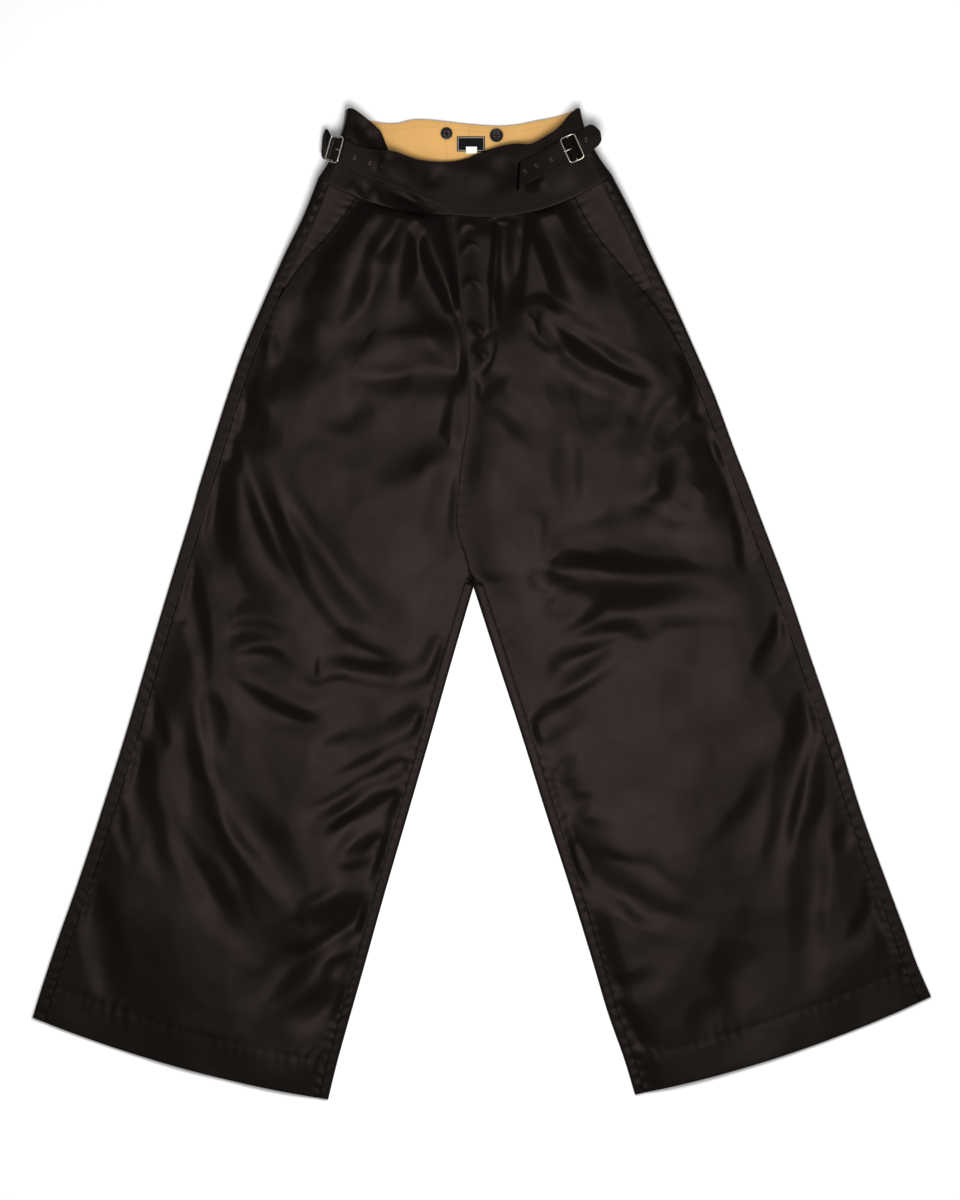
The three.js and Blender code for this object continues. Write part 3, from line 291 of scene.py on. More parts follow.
def placeAcross(row, inset):
    dx, dy = row["innerX"] - row["outerX"], row["innerY"] - row["outerY"]
    width = np.hypot(dx, dy)
    f = inset / width
    drop = row["sag"] * 4 * f * (1 - f)
    return (row["outerX"] + dx * f + drop * np.sign(dx) * dy / width,
            row["outerY"] + dy * f - drop * np.abs(dx) / width)


def wrapShare(t):
    return smooth(cloth["crotch"], cloth["fork"], t)


def uneven(x, y, cell, seed):  # soft seeded swell between -1 and 1
    values = np.random.RandomState(seed).uniform(-1, 1, (97, 97))
    u, v = x / cell + 500, y / cell + 500
    i, j = np.floor(u).astype(int), np.floor(v).astype(int)
    fu, fv = smooth(0, 1, u - i), smooth(0, 1, v - j)
    at = lambda a, b: values[(i + a) % 97, (j + b) % 97]
    return (at(0, 0) * (1 - fu) + at(1, 0) * fu) * (1 - fv) + (at(0, 1) * (1 - fu) + at(1, 1) * fu) * fv


def foldedBy(folds, x, y):  # each fold is a soft ridge or trough that narrows and fades at both ends
    total = np.zeros(x.shape)
    for k, fold in enumerate(folds):
        px, py = fold["points"].T
        far = fold["halfWidth"] * creases["gentle"] * 1.4
        near = (x > px.min() - far) & (x < px.max() + far) & (y > py.min() - far) & (y < py.max() + far)
        if not near.any():
            continue
        qx, qy = x[near], y[near]
        best = np.full(qx.shape, 1e9)
        along, side = np.zeros(qx.shape), np.zeros(qx.shape)
        count = len(px) - 1
        for i in range(count):
            bx, by = px[i + 1] - px[i], py[i + 1] - py[i]
            f = np.clip(((qx - px[i]) * bx + (qy - py[i]) * by) / (bx * bx + by * by), 0, 1)
            distance = np.hypot(qx - px[i] - f * bx, qy - py[i] - f * by)
            closer = distance < best
            best = np.where(closer, distance, best)
            along = np.where(closer, (i + f) / count, along)
            side = np.where(closer, bx * (qy - py[i]) - by * (qx - px[i]), side)
        full = np.ones(qx.shape)
        if not fold["held"][1]:
            full = full * (1 - smooth(0.5, 1, along))
        if not fold["held"][0]:
            full = full * smooth(0, 0.42, along)
        lean = fold["lean"] or (creases["lean"] if k % 2 else -creases["lean"])
        onSteep = np.sign(side) * lean > 0
        reach = np.where(onSteep, creases["plain"] + (creases["steep"] - creases["plain"]) * abs(lean),
                         creases["plain"] + (creases["gentle"] - creases["plain"]) * abs(lean))
        reach = reach * fold["halfWidth"] * (creases["narrowEnd"] + (1 - creases["narrowEnd"]) * full)
        reach = reach * (1.1 + 0.25 * uneven(qx, qy, 31, 5))
        profile = (1 - np.clip(best / reach, 0, 1) ** 2) ** 2.3
        total[near] += fold["rise"] * creases["height"] * profile * full
    return total


def puckers(along, away, seed):  # slanting ripples that a seam draws up, some much stronger than others
    slant = along + np.abs(away) * pucker["slant"] * uneven(along, along * 0, 61, seed + 3)
    phase = 2.4 * uneven(slant, slant * 0, 37, seed) + 1.4 * uneven(slant, slant * 0, 13, seed + 1)
    strong = 0.25 + 0.75 * np.maximum(0, uneven(slant, slant * 0, 43, seed + 2)) + 0.2
    wave = np.sin(slant * 2 * math.pi / pucker["pitch"] + phase)
    return pucker["high"] * strong * (wave - 0.4 * wave * wave) * np.exp(-np.abs(away) / pucker["reach"])


def downTheLeg(leg, t):  # length from the waist seam along the middle of the leg
    ts = np.linspace(0, 16, 400)
    row = sectionAt(leg, ts)
    x, y = placeAcross(row, widthOf(row) / 2)
    run = np.concatenate([[0], np.cumsum(np.hypot(np.diff(x), np.diff(y)))])
    return np.interp(t, ts, run), run[-1], ts, run


def frontLevel(leg, t, inset):
    row = sectionAt(leg, t)
    x, y = placeAcross(row, inset)
    width = widthOf(row)
    fromOuter = inset - np.maximum(cloth["sideLap"], row["slash"])
    fromSide = inset - cloth["sideLap"]
    fromInner = width - inset - cloth["inseamLap"] * wrapShare(t)
    run, length = downTheLeg(leg, t)[:2]
    inside = smooth(0, cloth["pillow"], fromSide) * smooth(0, cloth["pillow"], fromInner)
    level = row["outerHigh"] + (row["innerHigh"] - row["outerHigh"]) * smooth(0, 1, inset / width)
    level = level + row["lift"] * inside
    reach = cloth["seamReach"]
    # the pocket's edge lies flatter than the seam below it
    beside = reach + cloth["pocketReach"] * (1 - smooth(2.5, 4, t))
    masked = smooth(0, beside, fromOuter) * smooth(0, reach, fromInner)
    masked = masked * smooth(0, cloth["waistReach"], run)
    calm = smooth(0, cloth["calmSide"], fromOuter) * smooth(0, cloth["calmInner"], fromInner)
    calm = calm * smooth(0, cloth["calmWaist"], run)
    level = level + foldedBy(leg["folds"], x, y) * masked
    level = level + sum(high * uneven(x, y, cell, seed) for high, cell, seed in swells) * calm
    seed = 11 if leg["outward"] < 0 else 23
    level = level + puckers(run, fromOuter, seed) * smooth(0, 12, run)
    level = level + puckers(run, fromInner, seed + 4) * smooth(4.5, 6, t)
    fromHem = length - run - cloth["hemDeep"]
    level = level + puckers(inset, fromHem, seed + 8) - cloth["hemDip"] * np.exp(-(fromHem / 1.6) ** 2)
    return np.maximum(cloth["lowest"], level)


def evenRows(leg, step):
    ts, run = downTheLeg(leg, 0)[2:]
    return np.interp(np.linspace(0, run[-1], int(run[-1] / step) + 1), run, ts)


def frontGrid(leg):
    t = evenRows(leg, cloth["step"])[:, None]
    row = sectionAt(leg, t)
    start = np.maximum(cloth["sideLap"], row["slash"]) + cloth["gap"] / 2
    end = widthOf(row) - cloth["inseamLap"] * wrapShare(t) - cloth["gap"] / 2
    if leg["outward"] > 0:  # the fly's edge lies a little over the other front
        end = end + cloth["overlap"] * (1 - smooth(*cloth["flyEnds"], t))
    inset = start + (end - start) * np.linspace(0, 1, cloth["columns"])[None, :]
    t = np.broadcast_to(t, inset.shape)
    x, y = placeAcross(row, inset)
    return np.stack([x, y, frontLevel(leg, t, inset)], -1), np.stack([inset, downTheLeg(leg, t)[0]], -1)


def backGrid(leg):
    t = evenRows(leg, cloth["step"])
    row = sectionAt(leg, t)
    width, r, s = widthOf(row), row["outerHigh"] / 2, row["innerHigh"] / 2
    share = wrapShare(t)
    run = downTheLeg(leg, t)[0]
    seed = 31 if leg["outward"] < 0 else 43
    places = []  # inset and height of each column
    for f in np.linspace(0, 1, 7)[:-1]:  # lap on the front
        start, end = cloth["sideLap"] - cloth["gap"] / 2, np.minimum(r, cloth["sideLap"] - cloth["bluntest"])
        inset = start + (end - start) * f
        places.append((inset, 2 * r + puckers(run, start - inset, seed)))
    above, below = np.linspace(0, math.pi / 2, 9), np.linspace(math.pi / 2, math.pi, 6)[1:]
    for angle in [*above, *below]:  # round the outseam edge
        places.append(roundSide(r, angle))
    for f in np.linspace(0, 1, 16)[1:-1]:  # under the leg
        places.append((r + (width - 12 - r) * f, 0 * r))
    turns = []
    for angle in np.linspace(math.pi, 0, 9):
        turns.append((s - s * math.sin(angle), s + s * math.cos(angle)))
    for f in np.linspace(0, 1, 6)[1:]:
        inset = s + (cloth["inseamLap"] - cloth["gap"] / 2 - s) * f
        turns.append((inset, 2 * s + puckers(run, cloth["inseamLap"] - inset, seed + 5)))
    part = []
    for k, (inset, high) in enumerate(turns):
        flat = 12 + (cloth["gap"] / 2 - 12) * k / (len(turns) - 1)
        inset = np.maximum(inset, cloth["gap"] / 2)
        part.append((flat + (inset - flat) * share, high * share))
    short = np.min([inset for inset, high in part], axis=0) - 0.02
    for inset, high in part:
        places.append((width - (inset - short), high))
    grid, uv = [], []
    for inset, high in places:
        x, y = placeAcross(row, inset)
        grid.append(np.stack([x, y, high], -1))
        uv.append(np.stack([inset, run], -1))
    return np.stack(grid, 1), np.stack(uv, 1)


def facingGrid(leg):
    rows = pocketFacing["rows"]
    lowest = rows if leg["outward"] < 0 else rows + 1
    t = np.linspace(0, rows, 60)[:, None]
    row = sectionAt(leg, t)
    start = cloth["sideLap"] + cloth["gap"] / 2
    end = np.maximum(row["slash"], cloth["sideLap"]) + pocketFacing["under"] * (1 - 0.4 * t / lowest)
    inset = start + (end - start) * np.linspace(0, 1, 20)[None, :]
    t = np.broadcast_to(t, inset.shape)
    x, y = placeAcross(row, inset)
    bare = dict(leg, folds=[])
    level = frontLevel(bare, t, inset) - pocketFacing["below"] - 0.3 * smooth(0, 10, inset - start)
    level = level - pocketFacing["falls"] * (inset - start) + pocketFacing["swell"] * uneven(x, y, 22, 9)
    return np.stack([x, y, level], -1), np.stack([inset, downTheLeg(leg, t)[0]], -1)


def linear(hexColour):
    values = [int(hexColour[i:i + 2], 16) / 255 for i in (1, 3, 5)]
    return [v / 12.92 if v <= 0.04045 else ((v + 0.055) / 1.055) ** 2.4 for v in values] + [1]


def addNode(tree, kind, settings=None, inputs=None, links=None):
    node = tree.nodes.new(kind)
    for name, value in (settings or {}).items():
        setattr(node, name, value)
    for name, value in (inputs or {}).items():
        node.inputs[name].default_value = value
    for name, source in (links or {}).items():
        tree.links.new(source, node.inputs[name])
    return node


def newMaterial(name, inputs):
    material = bpy.data.materials.new(name)
    material.use_nodes = True
    tree = material.node_tree
    surface = tree.nodes["Principled BSDF"]
    for key, value in inputs.items():
        surface.inputs[key].default_value = value
    return material, tree, surface


def twoColours(tree, low, high, factor):
    mix = addNode(tree, "ShaderNodeMix", {"data_type": "RGBA"}, {}, {"Factor": factor})
    mix.inputs[6].default_value = linear(low)
    mix.inputs[7].default_value = linear(high)
    return mix.outputs[2]


def wovenCloth(name, look):
    # threads give fine slanted ribs, the dye is a little uneven, and handling leaves duller clouds
    material, tree, surface = newMaterial(name, {
        "Specular IOR Level": look["specular"], "Specular Tint": linear(look["shine"]),
        "Sheen Weight": look["sheen"], "Sheen Roughness": 0.5, "Sheen Tint": linear(look["sheenTint"]),
    })
    uv = addNode(tree, "ShaderNodeUVMap", {"uv_map": "weave"})
    turned = addNode(tree, "ShaderNodeMapping", {}, {"Rotation": (0, 0, math.radians(look["ribTurn"]))},
                     {"Vector": uv.outputs["UV"]})
    ribs = addNode(tree, "ShaderNodeTexWave", {"bands_direction": "X"},
                   {"Scale": math.pi * 100 / look["ribMm"], "Distortion": 0.8, "Detail": 1.5,
                    "Detail Scale": 2}, {"Vector": turned.outputs["Vector"]})
    dye = addNode(tree, "ShaderNodeTexNoise", {}, {"Scale": 1000 / look["patchMm"], "Detail": 5},
                  {"Vector": uv.outputs["UV"]})
    slub = addNode(tree, "ShaderNodeTexNoise", {}, {"Scale": 1000 / 2.4, "Detail": 3},
                   {"Vector": uv.outputs["UV"]})
    handled = addNode(tree, "ShaderNodeMath", {"operation": "MULTIPLY_ADD"}, {1: 0.4},
                      {0: slub.outputs["Fac"], 2: dye.outputs["Fac"]})
    rough = addNode(tree, "ShaderNodeMapRange", {}, {
        "From Min": 0.4, "From Max": 1.0, "To Min": look["rough"] - 0.06, "To Max": look["rough"] + 0.06,
    }, {"Value": handled.outputs[0]})
    height = addNode(tree, "ShaderNodeMath", {"operation": "MULTIPLY_ADD"}, {1: 0.8},
                     {0: slub.outputs["Fac"], 2: ribs.outputs["Fac"]})
    bump = addNode(tree, "ShaderNodeBump", {}, {"Strength": look["bump"], "Distance": 0.0003},
                   {"Height": height.outputs[0]})
    colour = twoColours(tree, look["dark"], look["pale"], dye.outputs["Fac"])
    tree.links.new(colour, surface.inputs["Base Color"])
    tree.links.new(rough.outputs["Result"], surface.inputs["Roughness"])
    tree.links.new(bump.outputs["Normal"], surface.inputs["Normal"])
    return material


sateen = wovenCloth("black_cotton_sateen_woven", {
    "dark": "#050303", "pale": "#090706", "patchMm": 60, "ribMm": 1.5, "ribTurn": 63, "rough": 0.41,
    "bump": 0.18, "specular": 0.07, "shine": "#ffe2d8", "sheen": 0.003, "sheenTint": "#6a5f57"})
liningCotton = wovenCloth("tan_cotton_twill_woven", {
    "dark": "#bd9052", "pale": "#d3a564", "patchMm": 30, "ribMm": 1.3, "ribTurn": 45, "rough": 0.85,
    "bump": 0.25, "specular": 0.2, "shine": "#ffffff", "sheen": 0.05, "sheenTint": "#e8d2ac"})
labelSatin = wovenCloth("black_satin_woven_label", {
    "dark": "#080707", "pale": "#0d0c0c", "patchMm": 8, "ribMm": 0.8, "ribTurn": 0, "rough": 0.5,
    "bump": 0.2, "specular": 0.06, "shine": "#ffffff", "sheen": 0, "sheenTint": "#555555"})
tagTaffeta = wovenCloth("white_taffeta_woven_tag", {
    "dark": "#dedbd3", "pale": "#ecebe6", "patchMm": 8, "ribMm": 0.8, "ribTurn": 0, "rough": 0.75,
    "bump": 0.2, "specular": 0.3, "shine": "#ffffff", "sheen": 0, "sheenTint": "#ffffff"})


def spunThread(name, colour):
    # spun polyester thread: matt with small twisted bumps
    material, tree, surface = newMaterial(name, {"Base Color": linear(colour), "Roughness": 0.6,
                                                 "Specular IOR Level": 0.04})
    place = addNode(tree, "ShaderNodeTexCoord")
    twist = addNode(tree, "ShaderNodeTexNoise", {}, {"Scale": 1000 / 0.5, "Detail": 2},
                    {"Vector": place.outputs["Object"]})
    bump = addNode(tree, "ShaderNodeBump", {}, {"Strength": 0.3, "Distance": 0.0001},
                   {"Height": twist.outputs["Fac"]})
    tree.links.new(bump.outputs["Normal"], surface.inputs["Normal"])
    return material


blackThread = spunThread("black_polyester_thread_spun", "#080606")
tanThread = spunThread("tan_polyester_thread_spun", "#a98350")
paleThread = spunThread("pale_polyester_thread_spun", "#d8d4cc")


def platedMetal(name, colour, rough, scratchMm):
    # plated wire: bright, with faint drawing lines and a cloudy wear
    material, tree, surface = newMaterial(name, {"Base Color": linear(colour), "Metallic": 1})
    place = addNode(tree, "ShaderNodeTexCoord")
    wear = addNode(tree, "ShaderNodeTexNoise", {}, {"Scale": 1000 / scratchMm, "Detail": 5},
                   {"Vector": place.outputs["Object"]})
    spread = addNode(tree, "ShaderNodeMapRange", {}, {"To Min": rough * 0.7, "To Max": rough * 1.5},
                     {"Value": wear.outputs["Fac"]})
    bump = addNode(tree, "ShaderNodeBump", {}, {"Strength": 0.08, "Distance": 0.0001},
                   {"Height": wear.outputs["Fac"]})
    tree.links.new(spread.outputs["Result"], surface.inputs["Roughness"])
    tree.links.new(bump.outputs["Normal"], surface.inputs["Normal"])
    return material


nickelWire = platedMetal("nickel_plated_steel_wire", "#a39c90", 0.24, 1.5)
blackEyelet = platedMetal("black_enamelled_brass_stamped", "#26211e", 0.36, 1.2)


def pressedButton():
    # polyester resin pressed and tumbled: glossy, near black with a blue cast and faint clouds
    material, tree, surface = newMaterial("black_polyester_resin_button", {
        "Roughness": 0.3, "Specular IOR Level": 0.12})
    place = addNode(tree, "ShaderNodeTexCoord")
    cloud = addNode(tree, "ShaderNodeTexNoise", {}, {"Scale": 1000 / 5, "Detail": 3},
                    {"Vector": place.outputs["Object"]})
    colour = twoColours(tree, "#0e1014", "#1b1d23", cloud.outputs["Fac"])
    tree.links.new(colour, surface.inputs["Base Color"])
    return material


buttonResin = pressedButton()
print("materials made")


def inMetres(points):
    return (np.asarray(points, float) - (middle[0], middle[1], 0)) / 1000


def deselectAll():
    bpy.ops.object.select_all(action="DESELECT")


def makeActive(piece):
    deselectAll()
    piece.select_set(True)
    bpy.context.view_layer.objects.active = piece


def joinUp(parts, angle):
    makeActive(parts[0])
    for part in parts:
        part.select_set(True)
    bpy.ops.object.join()
    bpy.ops.object.transform_apply(location=True, rotation=True, scale=True)
    bpy.ops.object.shade_smooth_by_angle(angle=math.radians(angle))
    return parts[0]


def layAt(piece, x, y, high, way=Matrix.Identity(4)):  # from mm at the origin to its place in metres
    place = Matrix.Translation((x - middle[0], y - middle[1], high))
    piece.data.transform(Matrix.Scale(0.001, 4) @ place @ way)


def finishPiece(piece, material, replaced=()):
    piece.data.materials.clear()
    piece.data.materials.append(material)
    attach(piece, "root")
    if replaced:
        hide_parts(*replaced)
    return piece


def meshPiece(name, points, faces, uv=None):
    mesh = bpy.data.meshes.new(name)
    mesh.from_pydata(points.tolist(), [], faces.tolist())
    if uv is not None:
        layer = mesh.uv_layers.new(name="weave")
        corners = np.zeros(len(mesh.loops), int)
        mesh.loops.foreach_get("vertex_index", corners)
        layer.data.foreach_set("uv", uv[corners].astype(np.float32).ravel())
    piece = bpy.data.objects.new(name, mesh)
    scene.collection.objects.link(piece)
    return piece


def sheetPiece(name, grid, uv, wall, facing, rim=0.25):
    rows, columns = grid.shape[:2]
    number = np.arange(rows * columns).reshape(rows, columns)
    faces = np.stack([number[:-1, :-1], number[1:, :-1], number[1:, 1:], number[:-1, 1:]], -1)
    faces = faces.reshape(-1, 4)
    points = inMetres(grid.reshape(-1, 3))
    i, j = rows // 2, columns // 2
    across = grid[i, min(j + 1, columns - 1)] - grid[i, j - 1]
    along = grid[min(i + 1, rows - 1), j] - grid[i - 1, j]
    if np.cross(along, across) @ np.array(facing) < 0:
        faces = faces[:, ::-1]
    piece = meshPiece(name, points, faces, uv.reshape(-1, 2) / 1000)
    makeActive(piece)
    thick = piece.modifiers.new("thick", "SOLIDIFY")
    thick.thickness = wall / 1000
    thick.offset = -1
    bpy.ops.object.modifier_apply(modifier="thick")
    if rim:
        soft = piece.modifiers.new("rim", "BEVEL")
        soft.width = rim / 1000
        soft.segments = 2
        soft.limit_method = "ANGLE"
        soft.angle_limit = math.radians(60)
        bpy.ops.object.modifier_apply(modifier="rim")
    bpy.ops.object.shade_smooth_by_angle(angle=math.radians(50))
    steps = [np.linalg.norm(np.diff(grid, axis=k), axis=-1) for k in (0, 1)]
    print(name, "area", round(sheetArea(grid) / 1e6, 4), "length", round(steps[0].sum(0).mean()),
          "width", round(steps[1].sum(1).mean()))
    return piece


def sheetArea(grid):
    a = grid[1:, :-1] - grid[:-1, :-1]
    b = grid[:-1, 1:] - grid[:-1, :-1]
    return np.linalg.norm(np.cross(a, b), axis=-1).sum()


def treeOf(piece):
    form = bmesh.new()
    form.from_mesh(piece.data)
    tree = BVHTree.FromBMesh(form)
    form.free()
    return tree


def onTop(tree, x, y):  # place and way up of a piece's upper face, in mm
    start = Vector(((x - middle[0]) / 1000, (y - middle[1]) / 1000, 1))
    place, normal = tree.ray_cast(start, Vector((0, 0, -1)))[:2]
    if place is None:
        place, normal = tree.find_nearest(Vector((start.x, start.y, 0.03)))[:2]
    if normal.z < 0:
        normal = -normal
    return np.array((x, y, place.z * 1000)), np.array(normal)


stitch = {"long": 2.3, "wide": 0.5, "high": 0.36, "pitch": 3.2, "inside": 1.9, "inseamRows": (0, 4),
          "mouthRows": (1, 3.4)}


def makeStitch():  # one stitch, a thread's short bulge, which every seam repeats
    deselectAll()
    bpy.ops.mesh.primitive_uv_sphere_add(segments=6, ring_count=4, radius=0.5, rotation=(0, math.pi / 2, 0))
    seed = bpy.context.object
    bpy.ops.object.transform_apply(location=True, rotation=True, scale=True)
    points = np.array([vertex.co for vertex in seed.data.vertices])
    faces = [tuple(face.vertices) for face in seed.data.polygons]
    bpy.data.objects.remove(seed)
    return points, faces


stitchPoints, stitchFaces = makeStitch()


def evenPlaces(line, pitch):
    line = np.array(line, float)
    run = np.concatenate([[0], np.cumsum(np.hypot(*np.diff(line, axis=0).T))])
    at = np.arange(pitch / 2, run[-1], pitch)
    return [np.stack([np.interp(at + d, run, line[:, k]) for k in (0, 1)], 1) for d in (-0.5, 0, 0.5)]


def sew(name, tree, lines, thread, size=(stitch["long"], stitch["wide"], stitch["high"]),
        pitch=stitch["pitch"]):
    points, faces = [], []
    for line in lines:
        for before, at, after in zip(*evenPlaces(line, pitch)):
            place, normal = onTop(tree, *at)
            along = onTop(tree, *after)[0] - onTop(tree, *before)[0]
            if abs(along[2]) > 1:
                along[2] = 0
            along = along / np.linalg.norm(along)
            across = np.cross(normal, along)
            across = across / np.linalg.norm(across)
            way = np.stack([along, across, np.cross(along, across)])
            start = len(points) * len(stitchPoints)
            points.append(place + (stitchPoints * size) @ way)
            faces += [tuple(start + k for k in face) for face in stitchFaces]
    mesh = bpy.data.meshes.new(name)
    mesh.from_pydata(inMetres(np.concatenate(points)).tolist(), [], faces)
    piece = bpy.data.objects.new(name, mesh)
    scene.collection.objects.link(piece)
    makeActive(piece)
    bpy.ops.object.shade_smooth()
    finishPiece(piece, thread)
    print(name, len(points), "stitches")


def legLine(leg, t, fromOuter=None, fromInner=None):  # a line down a leg at a given way in from one side
    row = sectionAt(leg, np.asarray(t, float))
    inset = fromOuter(row) if fromOuter else widthOf(row) - fromInner
    return np.stack(placeAcross(row, inset), 1)


def legSeams(leg, slashEnd):
    inside, sideLap, inseamLap = stitch["inside"], cloth["sideLap"], cloth["inseamLap"]
    down, mouth = np.linspace(slashEnd, 15.98, 150), np.linspace(0.04, slashEnd, 40)
    length, ts, run = downTheLeg(leg, 0)[1:]
    hemT = float(np.interp(length - cloth["hemDeep"] + 1.5, run, ts))
    hemRow = sectionAt(leg, np.full(60, hemT))
    across = np.linspace(sideLap + 2, widthOf(hemRow)[0] - inseamLap - 2, 60)
    inner = np.linspace(7.7, 15.98, 120)
    seams = [np.stack(placeAcross(hemRow, across), 1)]
    laps = [legLine(leg, down, lambda row: sideLap - inside + 0 * row["slash"]),
            *(legLine(leg, inner, fromInner=inseamLap - inside - k) for k in stitch["inseamRows"])]
    for k in stitch["mouthRows"]:
        seams.append(legLine(leg, mouth, lambda row: np.maximum(row["slash"], sideLap) + k * inside))
    if leg["outward"] < 0:
        seams.append(legLine(leg, np.linspace(4.7, 7.2, 40), fromInner=inside + 0.6))
    return seams, laps


def barTack(leg, t):  # close stitches across the end of a pocket's mouth
    row = sectionAt(leg, np.array([t]))
    start = np.maximum(row["slash"], cloth["sideLap"])
    x0, y0 = placeAcross(row, start + 0.6)
    x1, y1 = placeAcross(row, start + 7)
    return np.array([[x0[0], y0[0]], [x1[0], y1[0]]])


rightLeg = makeLeg(rightSections, rightFolds, -1)
leftLeg = makeLeg(leftSections, leftFolds, 1)
flyStitch = [[18.5, 438], [16, 410], [14, 382.5], [12.2, 358], [11.8, 341], [13.4, 320], [14, 301.8],
             [12.9, 285], [8.4, 271.6], [-0.6, 258.2], [-11, 252]]
flyInner = [[13, 438], [9.4, 384], [7, 342], [8.6, 303], [7.6, 288], [3.6, 277], [-4, 266], [-12, 261]]
pocketEnds = {"right": 2.72, "left": 3.72}
legs = {"right": rightLeg, "left": leftLeg}
panels, trees = {}, {}
for side, leg in legs.items():
    grid, uv = frontGrid(leg)
    panels["front_" + side] = sheetPiece("front_panel_" + side, grid, uv, cloth["wall"], (0, 0, 1))
    trees["front_" + side] = treeOf(panels["front_" + side])
    grid, uv = backGrid(leg)
    panels["back_" + side] = sheetPiece("back_panel_" + side, grid, uv, cloth["wall"], (0, 0, -1))
    trees["back_" + side] = treeOf(panels["back_" + side])
    grid, uv = facingGrid(leg)
    panels["pocket_facing_" + side] = sheetPiece("pocket_facing_cloth_" + side, grid, uv, 0.9, (0, 0, 1))
    for node in ("front_", "back_", "pocket_facing_"):
        finishPiece(panels[node + side], sateen, [node + side])
    seams, laps = legSeams(leg, pocketEnds[side])
    if side == "left":
        seams += [flyStitch, flyInner]
    sew("stitches_front_" + side, trees["front_" + side], seams, blackThread)
    sew("stitches_back_" + side, trees["back_" + side], laps, blackThread)
    tacks = [barTack(leg, pocketEnds[side] - 0.05)]
    sew("bar_tack_" + side, trees["front_" + side], tacks, blackThread, (2.2, 0.6, 0.5), 0.5)
print("panels made")


bands = {"wall": 2.0, "strapWall": 1.5, "bow": 6, "columns": 36, "liningSeam": (-15, 530),
         "swells": ((0.3, 26, 12), (0.12, 9, 13)), "liningSwells": ((0.5, 21, 14), (0.16, 7, 15)),
         "liningWall": 1.0, "liningLift": 0.4}
slot = {"x": 41.2, "y": 479.6, "wide": 3, "long": 31, "turn": -4}
# upper edges of the bands: share of the way from the side seam, place, rise over the seam in front
underBandTop = [
    [0, -152.6, 553.6, 0],
    [0.1, -148, 555.3, 0],
    [0.2, -141.5, 553.7, -0.6],
    [0.34, -126, 542, -1],
    [0.48, -113, 529.5, -1],
    [0.58, -107, 516, -1],
    [0.68, -100, 504, -1],
    [0.8, -80, 495, -1],
    [0.9, -58, 488.5, -0.5],
    [1, -36, 485, 0],
]
overBandTop = [
    [0, 111.5, 551.8, 0],
    [0.1, 108, 555.6, 0],
    [0.2, 98, 548, 0],
    [0.32, 86, 534, 0],
    [0.42, 71.5, 524.2, 0],
    [0.52, 55, 516, 0],
    [0.64, 37.5, 516.3, 0],
    [0.76, 20.7, 513.5, 0],
    [0.88, 2, 507.5, 0],
    [1, -15, 500.5, 0],
]
backBandTop = [
    [0, -151.8, 555],
    [0.07, -136, 545],
    [0.16, -118, 539],
    [0.26, -95, 537.6],
    [0.38, -69, 542],
    [0.5, -22, 537.5],
    [0.62, 14, 534.6],
    [0.72, 40, 536],
    [0.8, 61, 540.2],
    [0.88, 85, 545],
    [0.95, 102, 551.5],
    [1, 110.5, 555.4],
]
# straps: upper edge with its height, lower edge with its height
underStrap = [
    [-7, 482, 7.4, -8, 441, 7.4],
    [10, 487, 7.8, 12, 452, 7.8],
    [25, 490, 8.8, 24, 460.5, 8.8],
    [40.6, 495, 11.2, 38.6, 465.5, 11.1],
    [43.4, 496.5, 17.4, 41.4, 467, 17.2],
    [46, 497.6, 18.6, 44.6, 468.4, 18.4],
    [56, 501.8, 20.6, 55, 472.8, 20.4],
    [68, 507.6, 22.8, 70, 480.5, 22.6],
    [79, 513.4, 25.4, 88.5, 490, 25.2],
    [86.8, 517.4, 27, 97, 494.4, 27],
    [89.8, 518.8, 27.1, 100, 495.8, 27.1],
    [95.3, 521.2, 30.3, 105.5, 498.2, 30.3],
    [97.5, 522.2, 30.3, 107.7, 499.2, 30.3],
    [103, 524.6, 27.2, 113.2, 501.6, 27.2],
    [106, 526, 27.2, 116.2, 503, 27.2],
    [121, 537, 27.2, 129.8, 512.6, 27.2],
    [131, 531.5, 27.2, 134, 519, 27.2],
    [133.4, 527, 27, 134.2, 522, 27],
]
overStrap = [
    [-32, 496.7, 10.4, -48, 447.5, 10.8],
    [-55, 496.4, 12.4, -68, 456, 13.6],
    [-76, 499.8, 16.6, -88, 465.5, 18],
    [-98, 507.3, 21.6, -108, 472.5, 22.6],
    [-119, 509.3, 25.8, -127, 478.4, 26.4],
    [-136, 512.6, 28.8, -144, 486.8, 29],
    [-151.9, 519.4, 31, -158.5, 495, 31],
    [-154.6, 520.1, 29.1, -161.2, 495.7, 29.1],
    [-161.7, 522, 28.6, -168.3, 497.6, 28.6],
    [-163.6, 522.5, 27.7, -170.2, 498.1, 27.7],
    [-165.8, 523.1, 23.6, -172.4, 498.7, 23.6],
    [-168.3, 523.8, 20, -174.9, 499.4, 20],
    [-173.5, 532.5, 16, -176.6, 498.6, 16],
    [-177, 528, 12.6, -179, 502, 12.6],
    [-178.6, 521.5, 10.8, -179.6, 507.5, 10.8],
]


